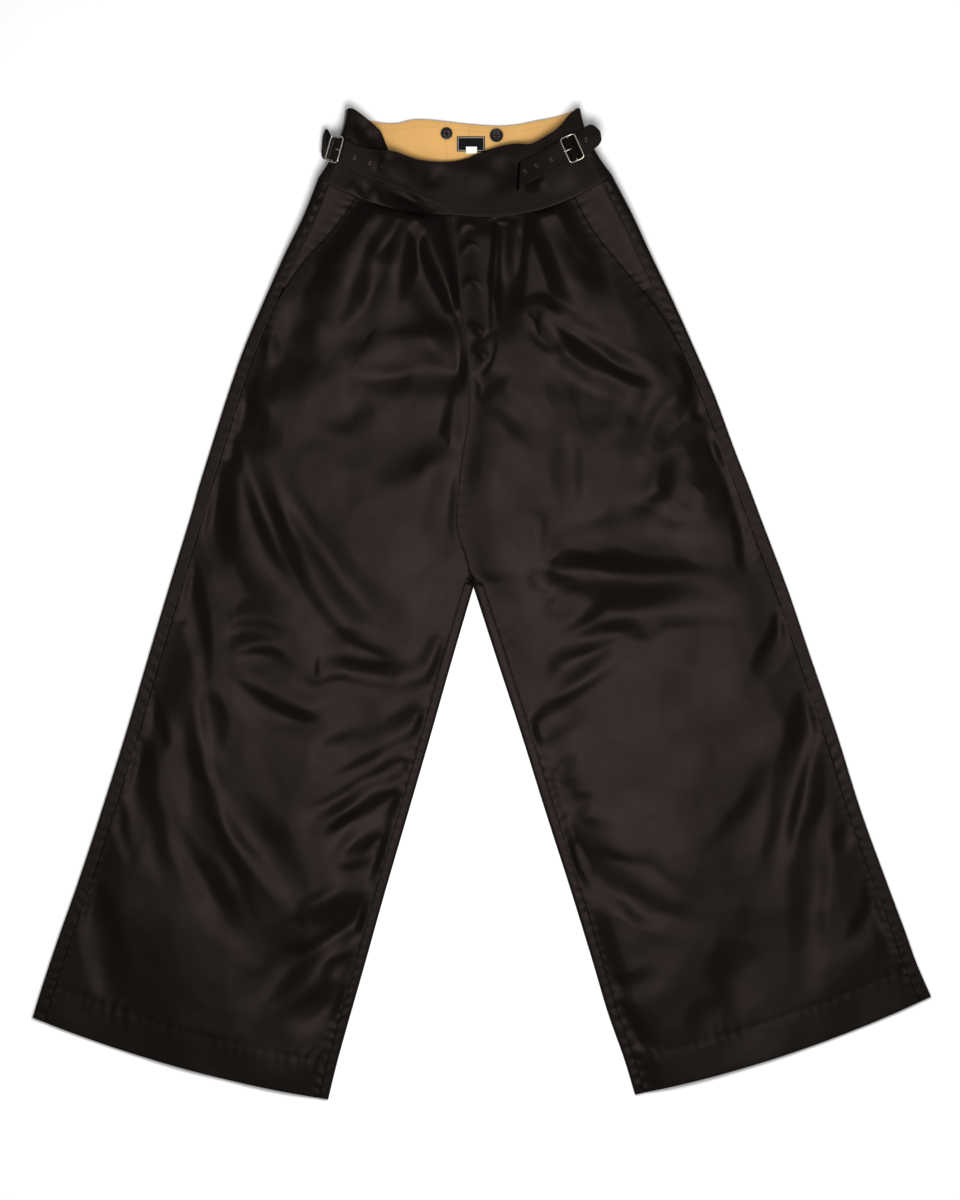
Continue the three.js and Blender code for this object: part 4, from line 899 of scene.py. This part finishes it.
# creases of the bands, in the same columns as the legs' folds
underBandFolds = traceFolds([
    ["outer crease of the ear", [[-134, 547], [-131, 530], [-127, 514]], 4.5, -3.7, 1],
    ["inner crease of the ear", [[-123, 533], [-120, 522], [-118, 510]], 4, -3.1, 0],
    ["swell of the ear", [[-145, 540], [-142, 522], [-139, 508]], 8, 2.4, 0],
    ["first ripple over the seam", [[-147, 476], [-143, 463], [-141, 452]], 4, 2.7, 0],
    ["second ripple over the seam", [[-134, 474], [-131, 461], [-129, 450]], 3.5, -2.5, 0],
    ["third ripple over the seam", [[-121, 470], [-118, 458], [-117, 446]], 4, 2.5, 0],
    ["fold towards the fly", [[-114, 466], [-92, 457], [-70, 447], [-50, 436]], 6, -5.6, 1],
    ["roll below the fold", [[-108, 456], [-90, 448], [-72, 440]], 5, 2.4, 0],
])
overBandFolds = traceFolds([
    ["first fold at the slot", [[47, 483], [56, 478], [70, 476]], 5, -4.4, 0],
    ["second fold at the slot", [[45, 474], [56, 472], [66, 466]], 4.5, -3.4, 0],
    ["ridge between the slot's folds", [[48, 479], [60, 474], [74, 470]], 4, 2.7, 0],
    ["long swell of the band", [[96, 520], [92, 490], [98, 462]], 13, 2.4, 0],
    ["hollow beside the slot", [[27, 503], [25, 485], [24, 460]], 8, -2.4, 0],
    ["swell over the fly", [[-2, 500], [-6, 480], [-10, 455]], 10, 2, 0],
    ["crease of the strap's root", [[-42, 492], [-56, 478], [-63, 466]], 7, -2.7, 0],
    ["first crease of the strap", [[-104, 507], [-109, 495], [-114, 482]], 3.5, -2.2, 0],
    ["second crease of the strap", [[-112, 508], [-116, 496], [-119, 484]], 3, 1.7, 0],
    ["swell of the strap", [[-84, 500], [-88, 486], [-92, 472]], 9, 1.5, 0],
])


def alongEdge(table, along):
    table = np.array(table, float)
    t = np.interp(along, table[:, 0], np.arange(len(table)))
    return [between(table[:, k], t) for k in range(1, table.shape[1])]


def waistSeam(leg):
    row = sectionAt(leg, np.array(0.0))
    r, width = row["outerHigh"] / 2, widthOf(row)
    points = []
    for angle in np.linspace(math.pi / 2, 0, 6):
        inset, high = roundSide(r, angle)
        points.append([*placeAcross(row, inset), high])
    bare = dict(leg, folds=[])
    for inset in np.linspace(cloth["sideLap"] + 3, width - cloth["gap"] / 2, 24):
        x, y = placeAcross(row, inset)
        level = row["outerHigh"] + (row["innerHigh"] - row["outerHigh"]) * smooth(0, 1, inset / width)
        points.append([x, y, level])
    return np.array(points, float)


def bandSurface(leg, topEdge, strap, folds, steps=6):
    low = waistSeam(leg)
    run = np.concatenate([[0], np.cumsum(np.linalg.norm(np.diff(low, axis=0), axis=1))])
    along = run / run[-1]
    x, y, rise = alongEdge(topEdge, along)
    top = np.stack([x, y, low[:, 2] + rise], 1)
    low = low + (0, cloth["gap"], 0)
    bow = bands["bow"] * leg["outward"] * (1 - smooth(0, 0.45, along))
    strap = np.array(strap, float)
    top = np.concatenate([top, strap[:, 0:3]])
    low = np.concatenate([low, strap[:, 3:6]])
    bow = np.concatenate([bow, np.zeros(len(strap))])
    t = np.linspace(0, len(top) - 1, (len(top) - 1) * steps + 1)
    top = np.stack([between(top[:, k], t) for k in range(3)], 1)
    low = np.stack([between(low[:, k], t) for k in range(3)], 1)
    bow = between(bow, t)
    f = np.linspace(0, 1, bands["columns"])[None, :, None]
    grid = top[:, None] + (low - top)[:, None] * f
    grid[:, :, 0] -= bow[:, None] * 4 * f[0, :, 0] * (1 - f[0, :, 0])
    x, y = grid[:, :, 0], grid[:, :, 1]
    edge = 4 * f[0, :, 0] * (1 - f[0, :, 0])
    grid[:, :, 2] += foldedBy(folds, x, y) * edge[None, :] ** 0.35
    swell = sum(high * uneven(x, y, cell, seed) for high, cell, seed in bands["swells"])
    grid[:, :, 2] += swell * edge[None, :]
    across = np.linalg.norm(low - top, axis=1)
    run = np.concatenate([[0], np.cumsum(np.linalg.norm(np.diff((top + low) / 2, axis=0), axis=1))])
    uv = np.stack([np.broadcast_to(run[:, None], grid.shape[:2]), across[:, None] * f[0, :, 0]], -1)
    return grid, uv


def cutSlot(band):  # the slot is cut clean through, a little longer than the strap is wide
    deselectAll()
    bpy.ops.mesh.primitive_cube_add(size=0.001)
    knife = bpy.context.object
    knife.scale = (slot["wide"], slot["long"], 16)
    knife.rotation_euler = (0, 0, math.radians(slot["turn"]))
    knife.location = ((slot["x"] - middle[0]) / 1000, (slot["y"] - middle[1]) / 1000, 0.014)
    makeActive(band)
    opened = band.modifiers.new("slot", "BOOLEAN")
    opened.object = knife
    bpy.ops.object.modifier_apply(modifier="slot")
    bpy.data.objects.remove(knife)
    bpy.ops.object.shade_smooth_by_angle(angle=math.radians(50))


def finer(grid, times):  # the same surface with more rows across
    t = np.linspace(0, len(grid) - 1, (len(grid) - 1) * times + 1)
    flat = grid.reshape(len(grid), -1)
    smoothed = np.stack([between(flat[:, k], t) for k in range(flat.shape[1])], 1)
    return smoothed.reshape(len(t), *grid.shape[1:])


def backBandSurface():
    halves = []
    for leg in (rightLeg, leftLeg):
        row = sectionAt(leg, np.array(0.0))
        r, width = row["outerHigh"] / 2, widthOf(row)
        half = []
        for angle in np.linspace(math.pi / 2, math.pi, 6):
            inset, high = roundSide(r, angle)
            half.append([*placeAcross(row, inset), high])
        for inset in np.linspace(r + 4, width - cloth["gap"] / 2, 30):
            half.append([*placeAcross(row, inset), 0])
        halves.append(np.array(half, float))
    low = np.concatenate([halves[0], halves[1][::-1]]) + (0, cloth["gap"], 0)
    along = (low[:, 0] - low[0, 0]) / (low[-1, 0] - low[0, 0])
    x, y = alongEdge(backBandTop, along)
    top = np.stack([x, y, low[:, 2]], 1)
    side = np.where(along < 0.5, -1, 1)
    bow = bands["bow"] * side * (1 - smooth(0, 0.45, np.minimum(along, 1 - along)))
    f = np.linspace(0, 1, bands["columns"])[None, :, None]
    grid = top[:, None] + (low - top)[:, None] * f
    grid[:, :, 0] -= bow[:, None] * 4 * f[0, :, 0] * (1 - f[0, :, 0])
    run = np.concatenate([[0], np.cumsum(np.linalg.norm(np.diff(low, axis=0), axis=1))])
    uv = np.stack([np.broadcast_to(run[:, None], grid.shape[:2]),
                   np.linalg.norm(low - top, axis=1)[:, None] * f[0, :, 0]], -1)
    return grid, uv


def waysOf(grid):  # unit normals of a grid
    down = np.gradient(grid, axis=0)
    over = np.gradient(grid, axis=1)
    ways = np.cross(over, down)
    return ways / np.linalg.norm(ways, axis=-1, keepdims=True)


underGrid, uv = bandSurface(rightLeg, underBandTop, underStrap, underBandFolds)
underBand = sheetPiece("under_band_cloth", underGrid, uv, bands["strapWall"], (0, 0, 1))
finishPiece(underBand, sateen, ["under_band"])
overGrid, uv = bandSurface(leftLeg, overBandTop, overStrap, overBandFolds)
overBand = sheetPiece("over_band_cloth", overGrid, uv, bands["strapWall"], (0, 0, 1))
cutSlot(overBand)
finishPiece(overBand, sateen, ["over_band"])
grid, uv = backBandSurface()
backBand = sheetPiece("back_band_cloth", grid, uv, bands["wall"], (0, 0, -1))
finishPiece(backBand, sateen, ["back_band"])

# the lining covers the band up to its edge and is drawn in along its seam at the middle
ways = waysOf(grid)
ways = ways * np.sign(ways[len(grid) // 2, 10] @ np.array((0, 0, 1)))
inner = finer((grid + ways * (bands["wall"] + bands["liningLift"] + bands["liningWall"]))[2:-2, :21], 4)
uv = finer(uv[2:-2, :21], 4)
x, y = inner[:, :, 0], inner[:, :, 1]
inner[:, :, 2] += sum(high * uneven(x, y, cell, seed) for high, cell, seed in bands["liningSwells"])
seamX = bands["liningSeam"][0] + (y - bands["liningSeam"][1]) * 0.06
inner[:, :, 2] -= 0.7 * np.exp(-((x - seamX) / 1.1) ** 2)
inner[:, 0, 1] += 1.6
inner[:, 0, 2] -= 0.8
lining = sheetPiece("back_lining_cloth", inner, uv, bands["liningWall"], (0, 0, 1))
finishPiece(lining, liningCotton, ["back_lining"])
liningTree = treeOf(lining)
overTree, underTree = treeOf(overBand), treeOf(underBand)
print("bands made")


buckle = {"long": 31, "wide": 18.8, "wire": 0.85, "corner": 3.5, "bow": 1.3, "barLow": 0.7, "pinThin": 0.55,
          "left": (101.5, 510.2, 28.5, 24, 0), "right": (-164.3, 509.6, 26, -15, -36)}


def layBuckle(piece, side):
    x, y, high, turn, tip = buckle[side]
    way = Matrix.Rotation(math.radians(turn), 4, "Z") @ Matrix.Rotation(math.radians(tip), 4, "Y")
    if side == "right":
        way = way @ Matrix.Rotation(math.pi, 4, "Z")
    layAt(piece, x, y, high, way)


def buckleRing(side):
    halfWide, halfLong = buckle["wide"] / 2 - buckle["wire"], buckle["long"] / 2 - buckle["wire"]
    deselectAll()
    bpy.ops.mesh.primitive_plane_add(size=2)
    ring = bpy.context.object
    ring.name = "buckle_ring_" + side
    ring.scale = (halfWide, halfLong, 1)
    bpy.ops.object.transform_apply(location=True, rotation=True, scale=True)
    bpy.ops.object.mode_set(mode="EDIT")
    bpy.ops.mesh.select_all(action="SELECT")
    bpy.ops.mesh.bevel(offset=buckle["corner"], segments=8, affect="VERTICES")
    bpy.ops.mesh.delete(type="ONLY_FACE")
    bpy.ops.mesh.select_all(action="SELECT")
    bpy.ops.mesh.subdivide(number_cuts=2)
    bpy.ops.object.mode_set(mode="OBJECT")
    for vertex in ring.data.vertices:
        vertex.co.z = buckle["bow"] * ((vertex.co.x / halfWide) ** 2 - buckle["barLow"])
    bpy.ops.object.convert(target="CURVE")
    ring.data.bevel_depth = buckle["wire"]
    ring.data.bevel_resolution = 4
    bpy.ops.object.convert(target="MESH")
    bpy.ops.mesh.primitive_cylinder_add(
        vertices=14, radius=buckle["wire"], depth=2 * halfLong,
        location=(0, 0, -buckle["barLow"] * buckle["bow"]), rotation=(math.pi / 2, 0, 0))
    joinUp([ring, bpy.context.object], 40)
    layBuckle(ring, side)
    finishPiece(ring, nickelWire, ["buckle_" + side])


def bucklePin(side):
    thin = buckle["pinThin"]
    length = buckle["wide"] / 2 + 0.6
    tipHigh = buckle["wire"] + (1 - buckle["barLow"]) * buckle["bow"] + 0.15 + thin
    rootHigh = buckle["wire"]
    deselectAll()
    bpy.ops.mesh.primitive_cylinder_add(vertices=12, radius=thin, depth=length)
    pin = bpy.context.object
    pin.name = "buckle_pin_" + side
    bpy.ops.object.mode_set(mode="EDIT")
    bpy.ops.mesh.select_all(action="DESELECT")
    bpy.ops.object.mode_set(mode="OBJECT")
    for face in pin.data.polygons:
        face.select = face.normal.z > 0.9
    bpy.ops.object.mode_set(mode="EDIT")
    bpy.ops.mesh.inset(thickness=0.2, depth=0.25)
    bpy.ops.mesh.inset(thickness=0.2, depth=0.12)
    bpy.ops.object.mode_set(mode="OBJECT")
    lean = math.atan2(rootHigh - tipHigh, length)  # it comes up through the strap near its tip
    turned = Matrix.Translation((-length / 2, 0, (tipHigh + rootHigh) / 2)) \
        @ Matrix.Rotation(-lean, 4, "Y") @ Matrix.Rotation(-math.pi / 2, 4, "Y")
    pin.data.transform(turned)
    bpy.ops.object.shade_smooth_by_angle(angle=math.radians(40))
    layBuckle(pin, side)
    finishPiece(pin, nickelWire, ["prong_" + side])


for side in ("left", "right"):
    buckleRing(side)
    bucklePin(side)

# stitches along the bands and straps, and the eyelets of the straps
eyelet = {"radius": 2.1, "thread": 0.75, "high": 0.55, "disc": 0.12,
          "over": ((-141.7, 500.1), (-124.9, 493.9), (-110.3, 490.6)),
          "under": ((61.6, 491.1), (77.8, 497.8), (48.7, 485), (117, 520.2))}


def gridLine(grid, column, start=0, end=None):
    return grid[start:end, column, :2]


def makeEyelets(name, tree, places):
    rings = []
    for x, y in places:
        place, normal = onTop(tree, x, y)
        turn = Vector(normal).to_track_quat("Z", "Y").to_matrix().to_4x4()
        deselectAll()
        bpy.ops.mesh.primitive_torus_add(major_radius=eyelet["radius"], minor_radius=eyelet["thread"],
                                         major_segments=24, minor_segments=8)
        ring = bpy.context.object
        # a dark enamel disc fills each ring's middle: painted shade standing in for the shadowed hole
        bpy.ops.mesh.primitive_circle_add(vertices=16, radius=eyelet["radius"], fill_type="NGON",
                                          location=(0, 0, eyelet["disc"]))
        joinUp([ring, bpy.context.object], 40)
        layAt(ring, x, y, place[2], turn @ Matrix.Diagonal((1, 1, eyelet["high"], 1)))
        rings.append(ring)
    joinUp(rings, 40).name = name
    finishPiece(rings[0], blackEyelet)


welt = [[[30.6, 494.4], [35.4, 466.4]], [[31.4, 494.6], [36.8, 494.8]]]
sew("stitches_over_band", overTree, [gridLine(overGrid, 3, 4), gridLine(overGrid, -4, 4), *welt],
    blackThread)
sew("stitches_under_band", underTree, [gridLine(underGrid, 3, 4), gridLine(underGrid, -4, 4)],
    blackThread)
makeEyelets("eyelets_over_strap", overTree, eyelet["over"])
makeEyelets("eyelets_under_strap", underTree, eyelet["under"])
print("buckles made")


buttons = {"across": 15, "thick": 2.6, "hole": 1.1, "holeRing": 2.2, "rim": 1.5, "dish": 0.7, "lift": 0.3,
           "thread": 0.42, "threadHigh": 0.85,
           "places": {"right": (-39.2, 528.1), "left": (16.8, 525.8)}}


def suspenderButton(side):
    x, y = buttons["places"][side]
    place = onTop(liningTree, x, y)[0]
    deselectAll()
    bpy.ops.mesh.primitive_cylinder_add(vertices=48, radius=buttons["across"] / 2, depth=buttons["thick"])
    button = bpy.context.object
    button.name = "button_" + side
    bpy.ops.object.mode_set(mode="OBJECT")
    for face in button.data.polygons:
        face.select = face.normal.z > 0.9
    bpy.ops.object.mode_set(mode="EDIT")
    bpy.ops.mesh.select_mode(type="FACE")
    bpy.ops.mesh.inset(thickness=buttons["rim"])
    bpy.ops.mesh.inset(thickness=0.6, depth=-buttons["dish"])
    bpy.ops.mesh.inset(thickness=0.6, depth=-0.1)
    bpy.ops.object.mode_set(mode="OBJECT")
    soft = button.modifiers.new("soft", "BEVEL")
    soft.width = 0.35
    soft.segments = 3
    soft.limit_method = "ANGLE"
    soft.angle_limit = math.radians(35)
    bpy.ops.object.modifier_apply(modifier="soft")
    for k in range(4):
        angle = math.pi / 4 + k * math.pi / 2
        bpy.ops.mesh.primitive_cylinder_add(vertices=16, radius=buttons["hole"], depth=8, location=(
            buttons["holeRing"] * math.cos(angle), buttons["holeRing"] * math.sin(angle), 0))
        drill = bpy.context.object
        makeActive(button)
        bore = button.modifiers.new("bore", "BOOLEAN")
        bore.object = drill
        bpy.ops.object.modifier_apply(modifier="bore")
        bpy.data.objects.remove(drill)
    bpy.ops.object.shade_smooth_by_angle(angle=math.radians(40))
    layAt(button, x, y, place[2] + buttons["lift"] + buttons["thick"] / 2)
    finishPiece(button, buttonResin, ["suspender_button_" + side])
    return place


def buttonThread(side, place):
    deselectAll()
    strands = []
    for k in range(4):
        angle = k * math.pi / 2
        reach = buttons["holeRing"] * math.sqrt(0.5)
        bpy.ops.mesh.primitive_cylinder_add(
            vertices=8, radius=buttons["thread"], depth=2 * reach + 0.6, rotation=(math.pi / 2, 0, angle),
            location=(reach * math.cos(angle), reach * math.sin(angle), buttons["threadHigh"]))
        strands.append(bpy.context.object)
    thread = joinUp(strands, 60)
    thread.name = "button_thread_" + side
    layAt(thread, place[0], place[1], place[2] + buttons["lift"] + buttons["thick"] / 2)
    finishPiece(thread, blackThread)


for side in ("right", "left"):
    buttonThread(side, suspenderButton(side))


def wovenPatch(name, patch, material, node, lift):
    x, y, wide, high, thick = patch
    us, vs = np.linspace(-0.5, 0.5, 26), np.linspace(0.5, -0.5, 16)
    grid = np.zeros((26, 16, 3))
    for i, u in enumerate(us):
        for j, v in enumerate(vs):
            place = onTop(liningTree, x + u * wide, y + v * high)[0]
            grid[i, j] = place + (0, 0, lift + thick)
    grid[:, :, 2] = (grid[:, :, 2] + grid[:, :, 2].mean()) / 2
    uv = np.stack(np.meshgrid(us * wide, vs * high, indexing="ij"), -1)
    piece = sheetPiece(name, grid, uv, thick, (0, 0, 1), rim=0.12)
    return finishPiece(piece, material, [node])


patches = {"label": (-11.8, 516.3, 31.4, 16.8, 0.7), "size_tag": (-11.2, 509.4, 12.3, 7.8, 0.5)}
labelPiece = wovenPatch("label_cloth", patches["label"], labelSatin, "label", 0.35)
wovenPatch("size_tag_cloth", patches["size_tag"], tagTaffeta, "size_tag", 1.3)
rim = patches["label"]
left, right = rim[0] - rim[2] / 2 + 1.3, rim[0] + rim[2] / 2 - 1.3
low, high = rim[1] - rim[3] / 2 + 1.3, rim[1] + rim[3] / 2 - 1.3
labelTree = treeOf(labelPiece)
sew("label_border", labelTree, [[[left, low], [right, low]], [[right, low], [right, high]],
                                [[right, high], [left, high]], [[left, high], [left, low]]],
    paleThread, (1.5, 0.55, 0.3), 1.6)
topLine = inner[6:-6, 2, :2]
seamLine = [[bands["liningSeam"][0] + 1.6 + (y - 530) * 0.06, y] for y in (537, 524.5, 512)]
sew("stitches_lining", liningTree, [topLine, seamLine], tanThread)
print("lining trim made")


welts = {"slot_welt": {"on": overTree, "edges": [(30.4, 494.6, 35.2, 466.2), (36.6, 494.8, 35.9, 466.2)]},
         "buckle_tab_left": {"on": overTree, "edges": [(100, 520, 100.5, 499), (110, 520, 112, 500.5),
                                                       (117, 519.5, 126, 501.5)]},
         "buckle_tab_right": {"on": underTree, "edges": [(-157, 519, -162.5, 502), (-152, 520, -157, 500.5),
                                                         (-146, 521, -151, 499)]}}


def strip(name, welt, wall):
    edges = np.array(welt["edges"], float)
    t = np.linspace(0, len(edges) - 1, 14)
    sides = np.stack([between(edges[:, k], t) for k in range(4)], 1)
    grid = np.zeros((14, 20, 3))
    for i, (x0, y0, x1, y1) in enumerate(sides):
        for j, f in enumerate(np.linspace(0, 1, 20)):
            grid[i, j] = onTop(welt["on"], x0 + (x1 - x0) * f, y0 + (y1 - y0) * f)[0] + (0, 0, 0.15 + wall)
    uv = np.stack(np.meshgrid(np.arange(14.0), np.arange(20.0), indexing="ij"), -1)
    finishPiece(sheetPiece(name + "_cloth", grid, uv, wall, (0, 0, 1)), sateen, [name])


for name, welt in welts.items():
    strip(name, welt, 0.8 if name == "slot_welt" else 1.0)
print("welt and tabs made")


studio = {"floor": "#f4f4f3", "cameraHigh": 9.0, "pxToM": 0.00112, "photo": (960, 1200),
          "photoMiddle": (481.5, 604.5), "world": 0.55, "keyPower": 19, "keySize": 0.64,
          "keyPlace": (0.06, -0.04, 1.26)}


# the size tag and the slot's welt are under 10 mm wide, too small to be given as sheets
print("cuts declared")


def addStudio():
    deselectAll()
    bpy.ops.mesh.primitive_plane_add(size=9, location=(0, 0, -0.0004))
    floor = bpy.context.object
    floor.name = "floor"
    # coated card: white and matt, with a faint grain
    paper, tree, surface = newMaterial("white_card_floor_coated", {
        "Base Color": linear(studio["floor"]), "Roughness": 0.9})
    place = addNode(tree, "ShaderNodeTexCoord")
    grain = addNode(tree, "ShaderNodeTexNoise", {}, {"Scale": 300}, {"Vector": place.outputs["Object"]})
    bump = addNode(tree, "ShaderNodeBump", {}, {"Strength": 0.02}, {"Height": grain.outputs["Fac"]})
    tree.links.new(bump.outputs["Normal"], surface.inputs["Normal"])
    floor.data.materials.append(paper)
    wide, high = studio["photo"]
    px = studio["pxToM"]
    x = (wide / 2 - studio["photoMiddle"][0]) * px - middle[0] / 1000
    y = (studio["photoMiddle"][1] - high / 2) * px - middle[1] / 1000
    lens = bpy.data.cameras.new("camera")
    lens.sensor_fit = "VERTICAL"
    lens.sensor_height = 24
    lens.lens = 24 * studio["cameraHigh"] / (high * px)
    lens.clip_end = 20
    camera = bpy.data.objects.new("camera", lens)
    camera.location = (x, y, studio["cameraHigh"] + 0.015)
    scene.collection.objects.link(camera)
    scene.camera = camera
    world = bpy.data.worlds.new("studio_air")
    world.use_nodes = True
    world.node_tree.nodes["Background"].inputs["Color"].default_value = (1, 1, 1, 1)
    world.node_tree.nodes["Background"].inputs["Strength"].default_value = studio["world"]
    scene.world = world
    light = bpy.data.lights.new("key", "AREA")
    light.energy = studio["keyPower"]
    light.size = studio["keySize"]
    lamp = bpy.data.objects.new("key", light)
    lamp.location = studio["keyPlace"]
    lamp.rotation_euler = (-Vector(studio["keyPlace"])).to_track_quat("-Z", "Y").to_euler()
    lamp.visible_camera = False
    scene.collection.objects.link(lamp)
    scene.view_settings.view_transform = "Standard"


addStudio()
print("studio set")
